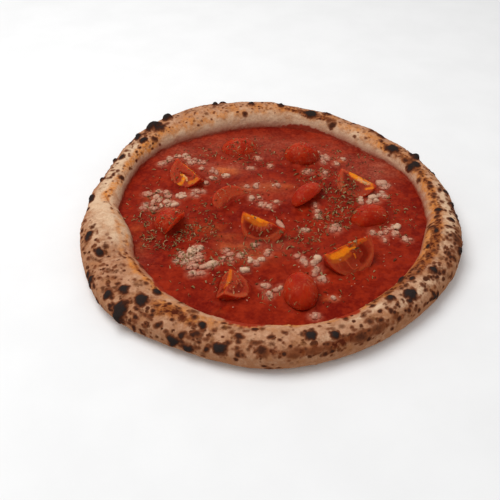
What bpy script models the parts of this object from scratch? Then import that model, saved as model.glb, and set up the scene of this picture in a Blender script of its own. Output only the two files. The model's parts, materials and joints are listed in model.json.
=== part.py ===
"""Pizza marinara: a puffed and blistered ring of baked dough round a bed of red sauce.

The crust is one solid: the ring, and the flat dough under the sauce. The sauce lies on that dough
with chopped garlic and oregano flakes fused to it, and cut pieces of tomato rest on the sauce.

Lengths are in metres and +Z is up. The origin is the centre of the flat underside, +X is the
right-hand side and -Y the front. Bearings go anticlockwise from +X, in degrees.
"""

import math
import random

import bmesh
import bpy
from mathutils import Matrix, Vector, noise

MM = 0.001
GAP = 0.3 * MM                # clearance between two pieces that touch

# Dough and sauce levels.
BASE_TOP = 4.0 * MM           # top of the flat dough under the sauce
SAUCE_TOP = 8.0 * MM          # mean level of the sauce
WALL_TOP = 9.0 * MM           # where the steep foot of the ring's inner wall ends
WALL_LEAN = 1.6 * MM          # how far that foot leans outwards

# The ring at sixteen bearings, 22.5 degrees apart from +X: outer radius, radius of the sauce's
# edge, height of the crest, all in millimetres. The ring is widest where it has bubbled, so its
# middle stands a little off the origin.
RING_MIDDLE = (-3.0 * MM, 0.2 * MM, 0.0)
RING_STATIONS = (
    (148, 124, 20), (147, 127, 20), (148, 123, 21), (150, 128, 23),
    (155, 128, 25), (161, 125, 26), (154, 127, 23), (142, 121, 21),
    (142, 115, 20), (147, 109, 21), (155, 116, 19), (153, 123, 19),
    (157, 127, 19), (153, 128, 19), (150, 123, 20), (151, 123, 20),
)
RING_SEGMENTS = 84
SECTION_STEPS = 11            # faces across the ring, from the underside over to the sauce
UNDERCUT = 62                 # how far the ring's round side turns under, in degrees
FULLNESS = 0.85               # below 1 the ring's section is fuller than an ellipse
WIDEST_AT = 0.43              # height of the widest place, as a share of the crest's height

# Swellings and pinches of the ring: bearing, half width in degrees, rise of the crest in
# millimetres. A swelling also reaches in over the sauce.
SWELLING_INWARD = 0.9         # as a share of its rise
SWELLINGS = (
    (196, 9, 2.4), (181, 3, -1.8), (211, 4, -2.0), (228, 10, 1.2),
    (342, 8, 1.6), (354, 4, -1.0), (130, 7, 1.2), (300, 9, 0.8),
)
LUMP_SCALE = 0.021            # distance over which the dough's unevenness changes
LUMP_DEPTH = 0.07             # its depth, as a share of the ring's half width

# Burnt blisters: bearing, degrees over the ring (0 outermost, 90 crest, 180 sauce), then length
# along the ring, width across it and rise in millimetres.
BLISTERS = (
    (134, 78, 16, 11, 4.5), (127, 72, 11, 9, 4.0), (141, 66, 6, 5, 2.0), (142, 99, 7, 5, 1.5),
    (157, 58, 6, 5, 2.2), (168, 52, 6, 5, 2.0), (178, 43, 9, 5, 1.6), (199, 57, 6, 5, 1.2),
    (208, 75, 7, 6, 1.5), (215, 28, 7, 5, 1.2), (224, 48, 7, 6, 1.5), (226, 77, 9, 7, 1.6),
    (230, 32, 10, 14, 2.0), (233, 83, 10, 9, 2.0), (234, 118, 6, 5, 1.5), (252, 87, 5, 5, 1.2),
    (246, 19, 8, 5, 1.2), (250, 8, 8, 5, 1.2), (258, 38, 9, 7, 1.5), (280, 86, 8, 7, 1.5),
    (286, 72, 6, 6, 1.4), (306, 98, 6, 6, 1.2), (312, 78, 10, 9, 1.8), (316, 137, 7, 5, 1.5),
    (324, 81, 7, 6, 2.0), (318, 16, 6, 5, 1.5), (338, 31, 6, 5, 1.5), (349, 78, 5, 5, 1.5),
    (359, 51, 6, 5, 2.2), (34, 107, 14, 9, 1.6), (26, 67, 8, 7, 3.5), (22, 96, 9, 5, 2.0),
    (108, 70, 6, 5, 2.6), (95, 89, 6, 5, 2.6), (84, 90, 6, 5, 2.4), (72, 104, 12, 9, 1.4),
)
BACK_BLISTERS = 9             # more of them low on the ring's far side
BLISTER_SINK = 0.3            # share of a blister's half height that is sunk in the dough
ROUNDER_FROM = 7              # blisters at least this long, in millimetres, get a finer mesh

# Tomato halves: x, y, height of the centre over the sauce, length, width in millimetres, then
# turn about the vertical and lean about the long axis in degrees.
TOMATO_HALVES = (
    (-23, 92, -7.0, 38, 31, 12, 0),
    (32, 78, 0.0, 31, 27, -10, 0),
    (-28.5, 13, 1.3, 34, 26.5, 45, -155),
    (33.5, 17.5, 0.7, 35.5, 21, 52, -37),
    (80, -9, -1.7, 32, 25, 20, 0),
    (-72, -20, -1.7, 28, 32, 60, -66),
    (21.5, -94, 1.2, 34, 24, 92, 0),
)
# Tomato wedges with the core uppermost: x, y, height of the core, length, radius in
# millimetres, then the slopes of the near and far cut faces, turn and tip in degrees.
TOMATO_WEDGES = (
    (-2.5, -26, 11.5, 35.5, 20.5, 43, 77, -23, 10),
    (56, -58, 15.0, 41, 24, 42, 73, 29, -5),
    (76, 34, 10.5, 34, 21, 32, 80, -36, 6),
    (-64.5, 44.5, 10.5, 33, 18.5, 34, 48, -50, 7),
    (-28.5, -89, 8.0, 27, 18, 25, 49, 82, 4),
)
TOMATO_DETAIL = 3             # subdivisions of the ball that each piece is cut from
LIE_FLAT_MARGIN = 2.5 * MM    # the sauce is level this far round a piece of tomato

# The sauce's surface.
SAUCE_RINGS = 8
SAUCE_WAVE = 0.55 * MM        # height of its unevenness
SAUCE_WAVE_SCALE = 0.014      # distance over which it changes
SAUCE_EDGE_FADE = 9.0 * MM    # it is level this close to the crust

# Heaps of chopped garlic: x, y, half length, half width in millimetres, number of bits.
GARLIC_HEAPS = (
    (-74, 71, 20, 4, 8), (-86, 14, 12, 9, 10), (-62, 25, 9, 3, 4), (-58, -60, 11, 9, 11),
    (-54, -70, 8, 3, 3), (-24, -52, 12, 6, 7), (-7, -51, 5, 5, 3), (4, 108, 5, 5, 3),
    (-8, 64, 8, 3, 3), (-38, 49, 7, 3, 3), (-4, 12, 7, 5, 3), (49, 86, 4, 5, 2),
    (44, 54, 8, 6, 3), (93, 49, 6, 7, 5), (96, 22, 5, 5, 3), (91, -34, 9, 5, 5),
    (22, -53, 6, 4, 3), (34, -70, 4, 9, 3), (-5, -88, 6, 7, 4), (30, -116, 1, 1, 1),
)
GARLIC_SIZE = (2.6, 5.0)      # shortest and longest bit, in millimetres
GARLIC_SINK = 0.25            # share of a bit's height that is under the sauce

# Patches of oregano: x, y, half size in millimetres, number of flakes.
OREGANO_PATCHES = (
    (-70, -38, 24, 10), (40, 0, 20, 9), (34, -30, 15, 6), (10, 8, 16, 3), (-30, -105, 16, 2),
    (-50, 85, 30, 3), (60, 70, 30, 3), (60, -90, 18, 2), (0, 40, 30, 3),
)
FLAKE_SIZE = (3.6, 1.2, 1.0)  # length, width, thickness in millimetres
BIT_CLEARANCE = 1.2 * MM      # bits stay this far from tomato and crust

SEED = 7

# Colour in linear light and roughness.
FINISHES = {
    "crust": ((0.56, 0.36, 0.22), 0.85),
    "sauce": ((0.26, 0.022, 0.010), 0.35),
    "tomato": ((0.42, 0.045, 0.018), 0.30),
}


# ---------------------------------------------------------------- helpers

def clear_scene():
    for item in list(bpy.data.objects):
        bpy.data.objects.remove(item, do_unlink=True)


def make_material(name):
    colour, roughness = FINISHES[name]
    material = bpy.data.materials.new(name)
    material.use_nodes = True
    shader = material.node_tree.nodes["Principled BSDF"]
    shader.inputs["Base Color"].default_value = (*colour, 1.0)
    shader.inputs["Roughness"].default_value = roughness
    shader.inputs["Metallic"].default_value = 0.0
    return material


def make_object(name, bm, material=None):
    """Turn a bmesh into a smooth-shaded object of that name in the scene."""
    mesh = bpy.data.meshes.new(name)
    bm.to_mesh(mesh)
    bm.free()
    mesh.shade_smooth()
    mesh.set_sharp_from_angle(angle=math.radians(50))
    item = bpy.data.objects.new(name, mesh)
    bpy.context.scene.collection.objects.link(item)
    if material:
        mesh.materials.append(material)
    return item


def blend_round(values, position):
    """Smooth curve through values spaced evenly round a ring, at a position from 0 to 1."""
    count = len(values)
    place = (position % 1.0) * count
    index = int(place)
    t = place - index
    before, here, after, beyond = (values[(index + k) % count] for k in (-1, 0, 1, 2))
    slope_here = (after - before) / 2
    slope_after = (beyond - here) / 2
    rise = after - here
    bend = 3 * rise - 2 * slope_here - slope_after
    twist = slope_here + slope_after - 2 * rise
    return here + slope_here * t + bend * t * t + twist * t ** 3


def power(value, exponent):
    return math.copysign(abs(value) ** exponent, value)


def keep_largest_shell(bm):
    """Drop loose scraps and sealed inner hollows, which leaves one outer skin."""
    unseen = set(bm.verts)
    shells = []
    while unseen:
        shell = {unseen.pop()}
        edge_of_shell = list(shell)
        while edge_of_shell:
            vertex = edge_of_shell.pop()
            for edge in vertex.link_edges:
                other = edge.other_vert(vertex)
                if other in unseen:
                    unseen.remove(other)
                    shell.add(other)
                    edge_of_shell.append(other)
        shells.append(shell)
    largest = max(shells, key=len)
    scraps = [vertex for shell in shells if shell is not largest for vertex in shell]
    bmesh.ops.delete(bm, geom=scraps, context="VERTS")


def fuse(target, bits):
    """Join the bits to the target with one Boolean union and keep its outer skin."""
    group = bpy.data.collections.new(f"{target.name}_bits")
    for bit in bits:
        group.objects.link(bit)
    union = target.modifiers.new("Fuse", "BOOLEAN")
    union.operation = "UNION"
    union.solver = "EXACT"
    union.operand_type = "COLLECTION"
    union.collection = group
    view = bpy.context.evaluated_depsgraph_get()
    fused = bpy.data.meshes.new_from_object(target.evaluated_get(view))
    target.modifiers.remove(union)
    for bit in bits:
        bpy.data.objects.remove(bit, do_unlink=True)
    bpy.data.collections.remove(group)
    bm = bmesh.new()
    bm.from_mesh(fused)
    keep_largest_shell(bm)
    bmesh.ops.triangulate(bm, faces=bm.faces)
    bm.to_mesh(target.data)
    bm.free()
    bpy.data.meshes.remove(fused)


# ---------------------------------------------------------------- the crust

def ring_sizes(bearing):
    """Outer radius, sauce-edge radius and crest height at a bearing."""
    position = bearing / 360
    outer, edge, crest = (blend_round(column, position) * MM for column in zip(*RING_STATIONS))
    for centre, spread, rise in SWELLINGS:
        away = (bearing - centre + 180) % 360 - 180
        swelling = rise * MM * math.exp(-(away / spread) ** 2)
        crest += swelling
        edge -= SWELLING_INWARD * swelling
    return outer, edge, crest


def wall_radius(bearing, height):
    """Radius of the steep foot of the ring's inner wall at a height."""
    edge = ring_sizes(bearing)[1]
    return edge + WALL_LEAN * (height - SAUCE_TOP) / (SAUCE_TOP - BASE_TOP)


def on_bearing(bearing, radius, height):
    angle = math.radians(bearing)
    return Vector((radius * math.cos(angle), radius * math.sin(angle), height))


def ring_point(bearing, over):
    """Point on the ring: over runs from -UNDERCUT underneath, by 90 at the crest, to 180."""
    outer, _, crest = ring_sizes(bearing)
    foot = wall_radius(bearing, WALL_TOP)
    middle = (outer + foot) / 2
    half_width = (outer - foot) / 2
    widest = WIDEST_AT * crest
    across = power(math.cos(math.radians(over)), FULLNESS)
    up = power(math.sin(math.radians(over)), FULLNESS)
    if over < 0:
        lowest = power(math.sin(math.radians(UNDERCUT)), FULLNESS)
        height = widest * (1 + up / lowest)
    elif over <= 90:
        height = widest + (crest - widest) * up
    else:
        height = WALL_TOP + (crest - WALL_TOP) * up
    lumps = noise.noise(on_bearing(bearing, middle, over * half_width / 60) / LUMP_SCALE)
    fade = math.sin(math.radians(max(0.0, min(180.0, (over + 30) * 6 / 7)))) ** 2
    push = LUMP_DEPTH * half_width * lumps * fade * 2
    reach = middle + across * (half_width + push)
    return on_bearing(bearing, reach, height + push * max(up, 0.0))


def ring_frame(bearing, over):
    """A place on the ring with its directions along, across and out of the surface."""
    here = ring_point(bearing, over)
    along = (ring_point(bearing + 1, over) - ring_point(bearing - 1, over)).normalized()
    across = ring_point(bearing, over - 3) - ring_point(bearing, over + 3)
    outward = along.cross(across).normalized() * -1
    if outward.dot(here - on_bearing(bearing, ring_sizes(bearing)[1] + 0.014, 0.008)) < 0:
        outward = -outward
    across = outward.cross(along)
    return Matrix((along, across, outward)).transposed().to_4x4(), here, outward


def crust_body():
    """The ring and the flat dough inside it, as one closed skin."""
    bm = bmesh.new()
    under_centre = bm.verts.new((0, 0, 0))
    base_centre = bm.verts.new((0, 0, BASE_TOP))
    sections = []
    for k in range(RING_SEGMENTS):
        bearing = 360 * k / RING_SEGMENTS
        turn = (180 + UNDERCUT) / SECTION_STEPS
        points = [ring_point(bearing, -UNDERCUT + turn * s) for s in range(SECTION_STEPS + 1)]
        points[0].z = 0
        points.append(on_bearing(bearing, wall_radius(bearing, BASE_TOP), BASE_TOP))
        sections.append([bm.verts.new(point) for point in points])
    for k, section in enumerate(sections):
        following = sections[(k + 1) % RING_SEGMENTS]
        bm.faces.new((under_centre, following[0], section[0]))
        bm.faces.new((base_centre, section[-1], following[-1]))
        for low in range(len(section) - 1):
            bm.faces.new((section[low], following[low], following[low + 1], section[low + 1]))
    return bm


def blister(bearing, over, length, width, rise):
    """A round bump of burnt dough, partly sunk in the ring."""
    bm = bmesh.new()
    rounds = 2 if length >= ROUNDER_FROM else 1
    bmesh.ops.create_icosphere(bm, subdivisions=rounds, radius=1.0)
    half_height = rise * MM / (1 - BLISTER_SINK)
    axes, here, outward = ring_frame(bearing, over)
    size = Matrix.Diagonal((length / 2 * MM, width / 2 * MM, half_height, 1))
    place = Matrix.Translation(here - outward * half_height * BLISTER_SINK)
    bm.transform(place @ axes @ size)
    return make_object("blister", bm)


def make_crust():
    draw = random.Random(SEED)
    crust = make_object("crust", crust_body(), make_material("crust"))
    places = list(BLISTERS)
    for k in range(BACK_BLISTERS):
        bearing = 10 + 160 * (k + draw.uniform(0.2, 0.8)) / BACK_BLISTERS
        length = draw.uniform(5, 9)
        places.append((bearing, draw.uniform(5, 45), length, length * 0.8, length * 0.25))
    fuse(crust, [blister(*place) for place in places])
    return crust


# ---------------------------------------------------------------- tomato pieces

def tomato_ball(length, width, height):
    """A rounded oval ball with its long axis along X."""
    bm = bmesh.new()
    bmesh.ops.create_icosphere(bm, subdivisions=TOMATO_DETAIL, radius=1.0)
    off_axis = Matrix.Rotation(0.4, 4, Vector((1, 2, 3)))
    bm.transform(Matrix.Diagonal((length / 2, width / 2, height / 2, 1)) @ off_axis)
    return bm


def slice_off(bm, point, normal):
    """Cut away what lies on the normal's side of a plane, and close the cut."""
    everything = bm.verts[:] + bm.edges[:] + bm.faces[:]
    cut = bmesh.ops.bisect_plane(bm, geom=everything, dist=1e-7, plane_co=point,
                                 plane_no=normal, clear_outer=True)
    rim = [part for part in cut["geom_cut"] if isinstance(part, bmesh.types.BMEdge)]
    bmesh.ops.edgeloop_fill(bm, edges=rim)


def lay_on_sauce(name, bm, x, y, turn, material):
    """Trim a piece flat where it meets the sauce and set it down there."""
    slice_off(bm, (0, 0, 0), (0, 0, -1))
    bmesh.ops.dissolve_degenerate(bm, dist=1e-5, edges=bm.edges)
    bmesh.ops.triangulate(bm, faces=bm.faces)
    bmesh.ops.recalc_face_normals(bm, faces=bm.faces)
    piece = make_object(name, bm, material)
    piece.location = (x * MM, y * MM, SAUCE_TOP + GAP)
    piece.rotation_euler = (0, 0, math.radians(turn))
    return piece


def tomato_half(name, material, x, y, lift, length, width, turn, lean):
    bm = tomato_ball(length * MM, width * MM, width * MM)
    slice_off(bm, (0, 0, 0), (0, 0, -1))
    raise_it = Matrix.Translation((0, 0, lift * MM))
    bm.transform(raise_it @ Matrix.Rotation(math.radians(lean), 4, "X"))
    return lay_on_sauce(name, bm, x, y, turn, material)


def tomato_wedge(name, material, x, y, lift, length, radius, near, far, turn, tip):
    bm = tomato_ball(length * MM, 2 * radius * MM, 2 * radius * MM)
    near, far = math.radians(near), math.radians(far)
    slice_off(bm, (0, 0, 0), (0, -math.sin(near), math.cos(near)))
    slice_off(bm, (0, 0, 0), (0, math.sin(far), math.cos(far)))
    raise_it = Matrix.Translation((0, 0, lift * MM))
    bm.transform(raise_it @ Matrix.Rotation(math.radians(tip), 4, "Y"))
    return lay_on_sauce(name, bm, x, y, turn, material)


def make_tomatoes():
    material = make_material("tomato")
    pieces = []
    for kind, sizes in ((tomato_half, TOMATO_HALVES), (tomato_wedge, TOMATO_WEDGES)):
        for values in sizes:
            pieces.append(kind(f"tomato_{len(pieces) + 1:02d}", material, *values))
    return pieces


def footprint(piece):
    """Centre of a tomato piece on the sauce, its turn and its half sizes there."""
    xs, ys = zip(*((vertex.co.x, vertex.co.y) for vertex in piece.data.vertices))
    turn = Matrix.Rotation(piece.rotation_euler.z, 3, "Z")
    middle = Vector(((min(xs) + max(xs)) / 2, (min(ys) + max(ys)) / 2, 0))
    centre = turn @ middle + Vector((piece.location.x, piece.location.y, 0))
    return centre, turn.inverted(), (max(xs) - min(xs)) / 2, (max(ys) - min(ys)) / 2


def nearness(point, prints, margin):
    """Above 1 when a point is clear of every footprint by the margin."""
    closest = 9.0
    for centre, back, half_x, half_y in prints:
        local = back @ (Vector((point.x, point.y, 0)) - centre)
        away = math.hypot(local.x / (half_x + margin), local.y / (half_y + margin))
        closest = min(closest, away)
    return closest


# ---------------------------------------------------------------- the sauce and its bits

def sauce_level(point, edge, prints):
    """Height of the sauce: uneven, but level beside the crust and round the tomato."""
    wave = noise.noise(Vector((point.x, point.y, 0)) / SAUCE_WAVE_SCALE)
    from_edge = (edge - math.hypot(point.x, point.y)) / SAUCE_EDGE_FADE
    from_tomato = (nearness(point, prints, LIE_FLAT_MARGIN) - 1.0) * 3
    fade = max(0.0, min(1.0, from_edge, from_tomato))
    return SAUCE_TOP + SAUCE_WAVE * wave * fade


def sauce_body(prints):
    bm = bmesh.new()
    floor = BASE_TOP + GAP
    floor_centre = bm.verts.new((0, 0, floor))
    top_centre = bm.verts.new((0, 0, SAUCE_TOP))
    spokes = []
    for k in range(RING_SEGMENTS):
        bearing = 360 * k / RING_SEGMENTS
        reach = wall_radius(bearing, SAUCE_TOP) - GAP
        spoke = [bm.verts.new(on_bearing(bearing, wall_radius(bearing, floor) - GAP, floor))]
        for ring in range(SAUCE_RINGS, 0, -1):
            point = on_bearing(bearing, reach * ring / SAUCE_RINGS, 0)
            point.z = sauce_level(point, reach, prints)
            spoke.append(bm.verts.new(point))
        spokes.append(spoke)
    for k, spoke in enumerate(spokes):
        following = spokes[(k + 1) % RING_SEGMENTS]
        bm.faces.new((floor_centre, following[0], spoke[0]))
        bm.faces.new((top_centre, spoke[-1], following[-1]))
        for low in range(len(spoke) - 1):
            bm.faces.new((spoke[low], following[low], following[low + 1], spoke[low + 1]))
    return bm


def is_free(point, reach, prints):
    """True where a bit of that reach clears the tomato and the crust."""
    bearing = math.degrees(math.atan2(point.y, point.x))
    room = wall_radius(bearing, SAUCE_TOP) - math.hypot(point.x, point.y)
    if room < reach + BIT_CLEARANCE:
        return False
    return nearness(point, prints, reach + BIT_CLEARANCE) > 1.0


def garlic_bit(draw, point):
    """A chopped crumb of garlic with uneven corners."""
    bm = bmesh.new()
    bmesh.ops.create_icosphere(bm, subdivisions=1, radius=1.0)
    for vertex in bm.verts:
        vertex.co *= draw.uniform(0.85, 1.15)
    length = draw.uniform(*GARLIC_SIZE) * MM
    width = length * draw.uniform(0.6, 0.9)
    height = min(length, 3.2 * MM) * draw.uniform(0.6, 0.8)
    size = Matrix.Diagonal((length / 2, width / 2, height / 2, 1))
    turn = Matrix.Rotation(draw.uniform(0, math.tau), 4, "Z")
    middle = Vector((point.x, point.y, point.z + height * (0.5 - GARLIC_SINK)))
    bm.transform(Matrix.Translation(middle) @ turn @ size)
    return make_object("garlic", bm)


def oregano_flake(draw, point):
    """A dry flake lying on the sauce, a little sunk and tipped."""
    bm = bmesh.new()
    bmesh.ops.create_cube(bm, size=1.0)
    length, width, thickness = (size * draw.uniform(0.8, 1.15) * MM for size in FLAKE_SIZE)
    size = Matrix.Diagonal((length, width, thickness, 1))
    turn = Matrix.Rotation(draw.uniform(0, math.tau), 4, "Z")
    tip = Matrix.Rotation(draw.uniform(-0.15, 0.15), 4, "Y")
    middle = Vector((point.x, point.y, point.z + thickness * 0.2))
    bm.transform(Matrix.Translation(middle) @ turn @ tip @ size)
    return make_object("oregano", bm)


def scatter(draw, prints, heap, reach, maker):
    """Make a heap's bits at free places on the sauce."""
    x, y, half_x, half_y, count = heap
    bits = []
    for _ in range(count):
        angle, far = draw.uniform(0, math.tau), math.sqrt(draw.random())
        point = Vector(((x + half_x * far * math.cos(angle)) * MM,
                        (y + half_y * far * math.sin(angle)) * MM, 0))
        if is_free(point, reach, prints):
            edge = wall_radius(math.degrees(math.atan2(point.y, point.x)), SAUCE_TOP) - GAP
            point.z = sauce_level(point, edge, prints)
            bits.append(maker(draw, point))
    return bits


def make_sauce(tomatoes):
    prints = [footprint(piece) for piece in tomatoes]
    sauce = make_object("sauce", sauce_body(prints), make_material("sauce"))
    draw = random.Random(SEED)
    bits = []
    for heap in GARLIC_HEAPS:
        bits += scatter(draw, prints, heap, GARLIC_SIZE[1] / 2 * MM, garlic_bit)
    for x, y, half, count in OREGANO_PATCHES:
        patch = (x, y, half, half, count)
        bits += scatter(draw, prints, patch, FLAKE_SIZE[0] / 2 * MM, oregano_flake)
    fuse(sauce, bits)
    return sauce


def main():
    clear_scene()
    crust = make_crust()
    tomatoes = make_tomatoes()
    sauce = make_sauce(tomatoes)
    for piece in (crust, sauce, *tomatoes):
        piece.location += Vector(RING_MIDDLE)


if __name__ == "__main__":
    main()
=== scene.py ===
"""The looks of a pizza marinara: baked crust, tomato sauce, cut tomatoes, chopped garlic and oregano.

Each finished mesh takes the place of a packed solid and keeps its form, with the finer relief and
the colours that the solid leaves out. Lengths are in metres, +Z is up and the origin is the centre
of the flat underside. Bearings go anticlockwise from +X, in degrees. "Over" says how far over the
crust's ring a place lies: 0 is its outermost line, 90 its crest and 180 the foot beside the sauce.
"""

import json
import math
import random

import bmesh
import bpy
import numpy as np
from mathutils import Euler, Matrix, Vector, noise
from mathutils.bvhtree import BVHTree

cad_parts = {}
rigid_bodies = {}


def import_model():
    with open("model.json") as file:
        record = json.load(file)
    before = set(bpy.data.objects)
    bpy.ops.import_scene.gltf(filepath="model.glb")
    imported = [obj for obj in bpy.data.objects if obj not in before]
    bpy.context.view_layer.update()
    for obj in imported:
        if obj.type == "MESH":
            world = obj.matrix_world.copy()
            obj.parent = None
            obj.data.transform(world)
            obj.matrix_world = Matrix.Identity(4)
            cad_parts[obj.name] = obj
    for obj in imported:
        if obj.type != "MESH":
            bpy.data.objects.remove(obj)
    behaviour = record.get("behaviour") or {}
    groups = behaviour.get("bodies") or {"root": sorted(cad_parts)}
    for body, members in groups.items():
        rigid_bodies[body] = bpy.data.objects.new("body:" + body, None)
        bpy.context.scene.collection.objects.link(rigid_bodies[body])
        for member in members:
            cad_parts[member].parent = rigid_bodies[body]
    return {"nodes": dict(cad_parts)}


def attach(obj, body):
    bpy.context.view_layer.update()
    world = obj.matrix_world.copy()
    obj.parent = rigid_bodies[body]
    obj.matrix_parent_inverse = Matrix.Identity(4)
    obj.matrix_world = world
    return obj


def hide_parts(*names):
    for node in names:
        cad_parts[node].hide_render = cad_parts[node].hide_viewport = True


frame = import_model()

bl_info = {
    "name": "Pizza marinara",
    "version": (1, 0, 0),
    "blender": (4, 5, 0),
    "location": "View3D > Sidebar > Pizza",
    "description": "Bakes, spreads and tops a pizza marinara over its packed solids",
    "category": "Add Mesh",
}

MM = 0.001
GAP = 0.3 * MM                # clearance that the solids keep
SEED = 7

# ---------------------------------------------------------------- sizes shared with the solids

BASE_TOP = 4.0 * MM           # top of the flat dough under the sauce
SAUCE_TOP = 8.0 * MM          # mean level of the sauce
WALL_TOP = 9.0 * MM           # where the steep foot of the ring's inner wall ends
WALL_LEAN = 1.6 * MM          # how far that foot leans outwards

# The ring's middle, and the ring at sixteen bearings, 22.5 degrees apart from +X: outer radius,
# radius of the sauce's edge and height of the crest, in millimetres.
RING_MIDDLE = np.array((-3.0, 0.2, 0.0)) * MM
RING_STATIONS = (
    (148, 124, 20), (147, 127, 20), (148, 123, 21), (150, 128, 23),
    (155, 128, 25), (161, 125, 26), (154, 127, 23), (142, 121, 21),
    (142, 115, 20), (147, 109, 21), (155, 116, 19), (153, 123, 19),
    (157, 127, 19), (153, 128, 19), (150, 123, 20), (151, 123, 20),
)
UNDERCUT = 62                 # how far the ring's round side turns under, in degrees
FULLNESS = 0.85               # below 1 the ring's section is fuller than an ellipse
WIDEST_AT = 0.43              # height of the widest place, as a share of the crest's height
SWELLING_INWARD = 0.9         # how far a swelling reaches over the sauce, as a share of its rise
SWELLINGS = (                 # bearing, half width in degrees, rise of the crest in millimetres
    (196, 9, 2.4), (181, 3, -1.8), (211, 4, -2.0), (228, 10, 1.2),
    (342, 8, 1.6), (354, 4, -1.0), (130, 7, 1.2), (300, 9, 0.8),
)
LUMP_SCALE = 0.021            # distance over which the dough's unevenness changes

# Burnt blisters: bearing, over, then length along the ring, width across it and rise in
# millimetres.
BLISTERS = (
    (134, 78, 16, 11, 4.5), (127, 72, 11, 9, 4.0), (141, 66, 6, 5, 2.0), (142, 99, 7, 5, 1.5),
    (157, 58, 6, 5, 2.2), (168, 52, 6, 5, 2.0), (178, 43, 9, 5, 1.6), (199, 57, 6, 5, 1.2),
    (208, 75, 7, 6, 1.5), (215, 28, 7, 5, 1.2), (224, 48, 7, 6, 1.5), (226, 77, 9, 7, 1.6),
    (230, 32, 10, 14, 2.0), (233, 83, 10, 9, 2.0), (234, 118, 6, 5, 1.5), (252, 87, 5, 5, 1.2),
    (246, 19, 8, 5, 1.2), (250, 8, 8, 5, 1.2), (258, 38, 9, 7, 1.5), (280, 86, 8, 7, 1.5),
    (286, 72, 6, 6, 1.4), (306, 98, 6, 6, 1.2), (312, 78, 10, 9, 1.8), (316, 137, 7, 5, 1.5),
    (324, 81, 7, 6, 2.0), (318, 16, 6, 5, 1.5), (338, 31, 6, 5, 1.5), (349, 78, 5, 5, 1.5),
    (359, 51, 6, 5, 2.2), (34, 107, 14, 9, 1.6), (26, 67, 8, 7, 3.5), (22, 96, 9, 5, 2.0),
    (108, 70, 6, 5, 2.6), (95, 89, 6, 5, 2.6), (84, 90, 6, 5, 2.4), (72, 104, 12, 9, 1.4),
)
BACK_BLISTERS = 9             # more of them low on the ring's far side
BLISTER_SINK = 0.3            # share of a blister's half height that is sunk in the dough

# Tomato halves: x, y, height of the centre over the sauce, length and width in millimetres, then
# turn about the vertical and lean about the long axis in degrees.
TOMATO_HALVES = (
    (-23, 92, -7.0, 38, 31, 12, 0),
    (32, 78, 0.0, 31, 27, -10, 0),
    (-28.5, 13, 1.3, 34, 26.5, 45, -155),
    (33.5, 17.5, 0.7, 35.5, 21, 52, -37),
    (80, -9, -1.7, 32, 25, 20, 0),
    (-72, -20, -1.7, 28, 32, 60, -66),
    (21.5, -94, 1.2, 34, 24, 92, 0),
)
# Tomato wedges with the core uppermost: x, y, height of the core, length and radius in
# millimetres, then the slopes of the near and far cut faces, turn and tip in degrees.
TOMATO_WEDGES = (
    (-2.5, -26, 11.5, 35.5, 20.5, 43, 77, -23, 10),
    (56, -58, 15.0, 41, 24, 42, 73, 29, -5),
    (76, 34, 10.5, 34, 21, 32, 80, -36, 6),
    (-64.5, 44.5, 10.5, 33, 18.5, 34, 48, -50, 7),
    (-28.5, -89, 8.0, 27, 18, 25, 49, 82, 4),
)

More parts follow.
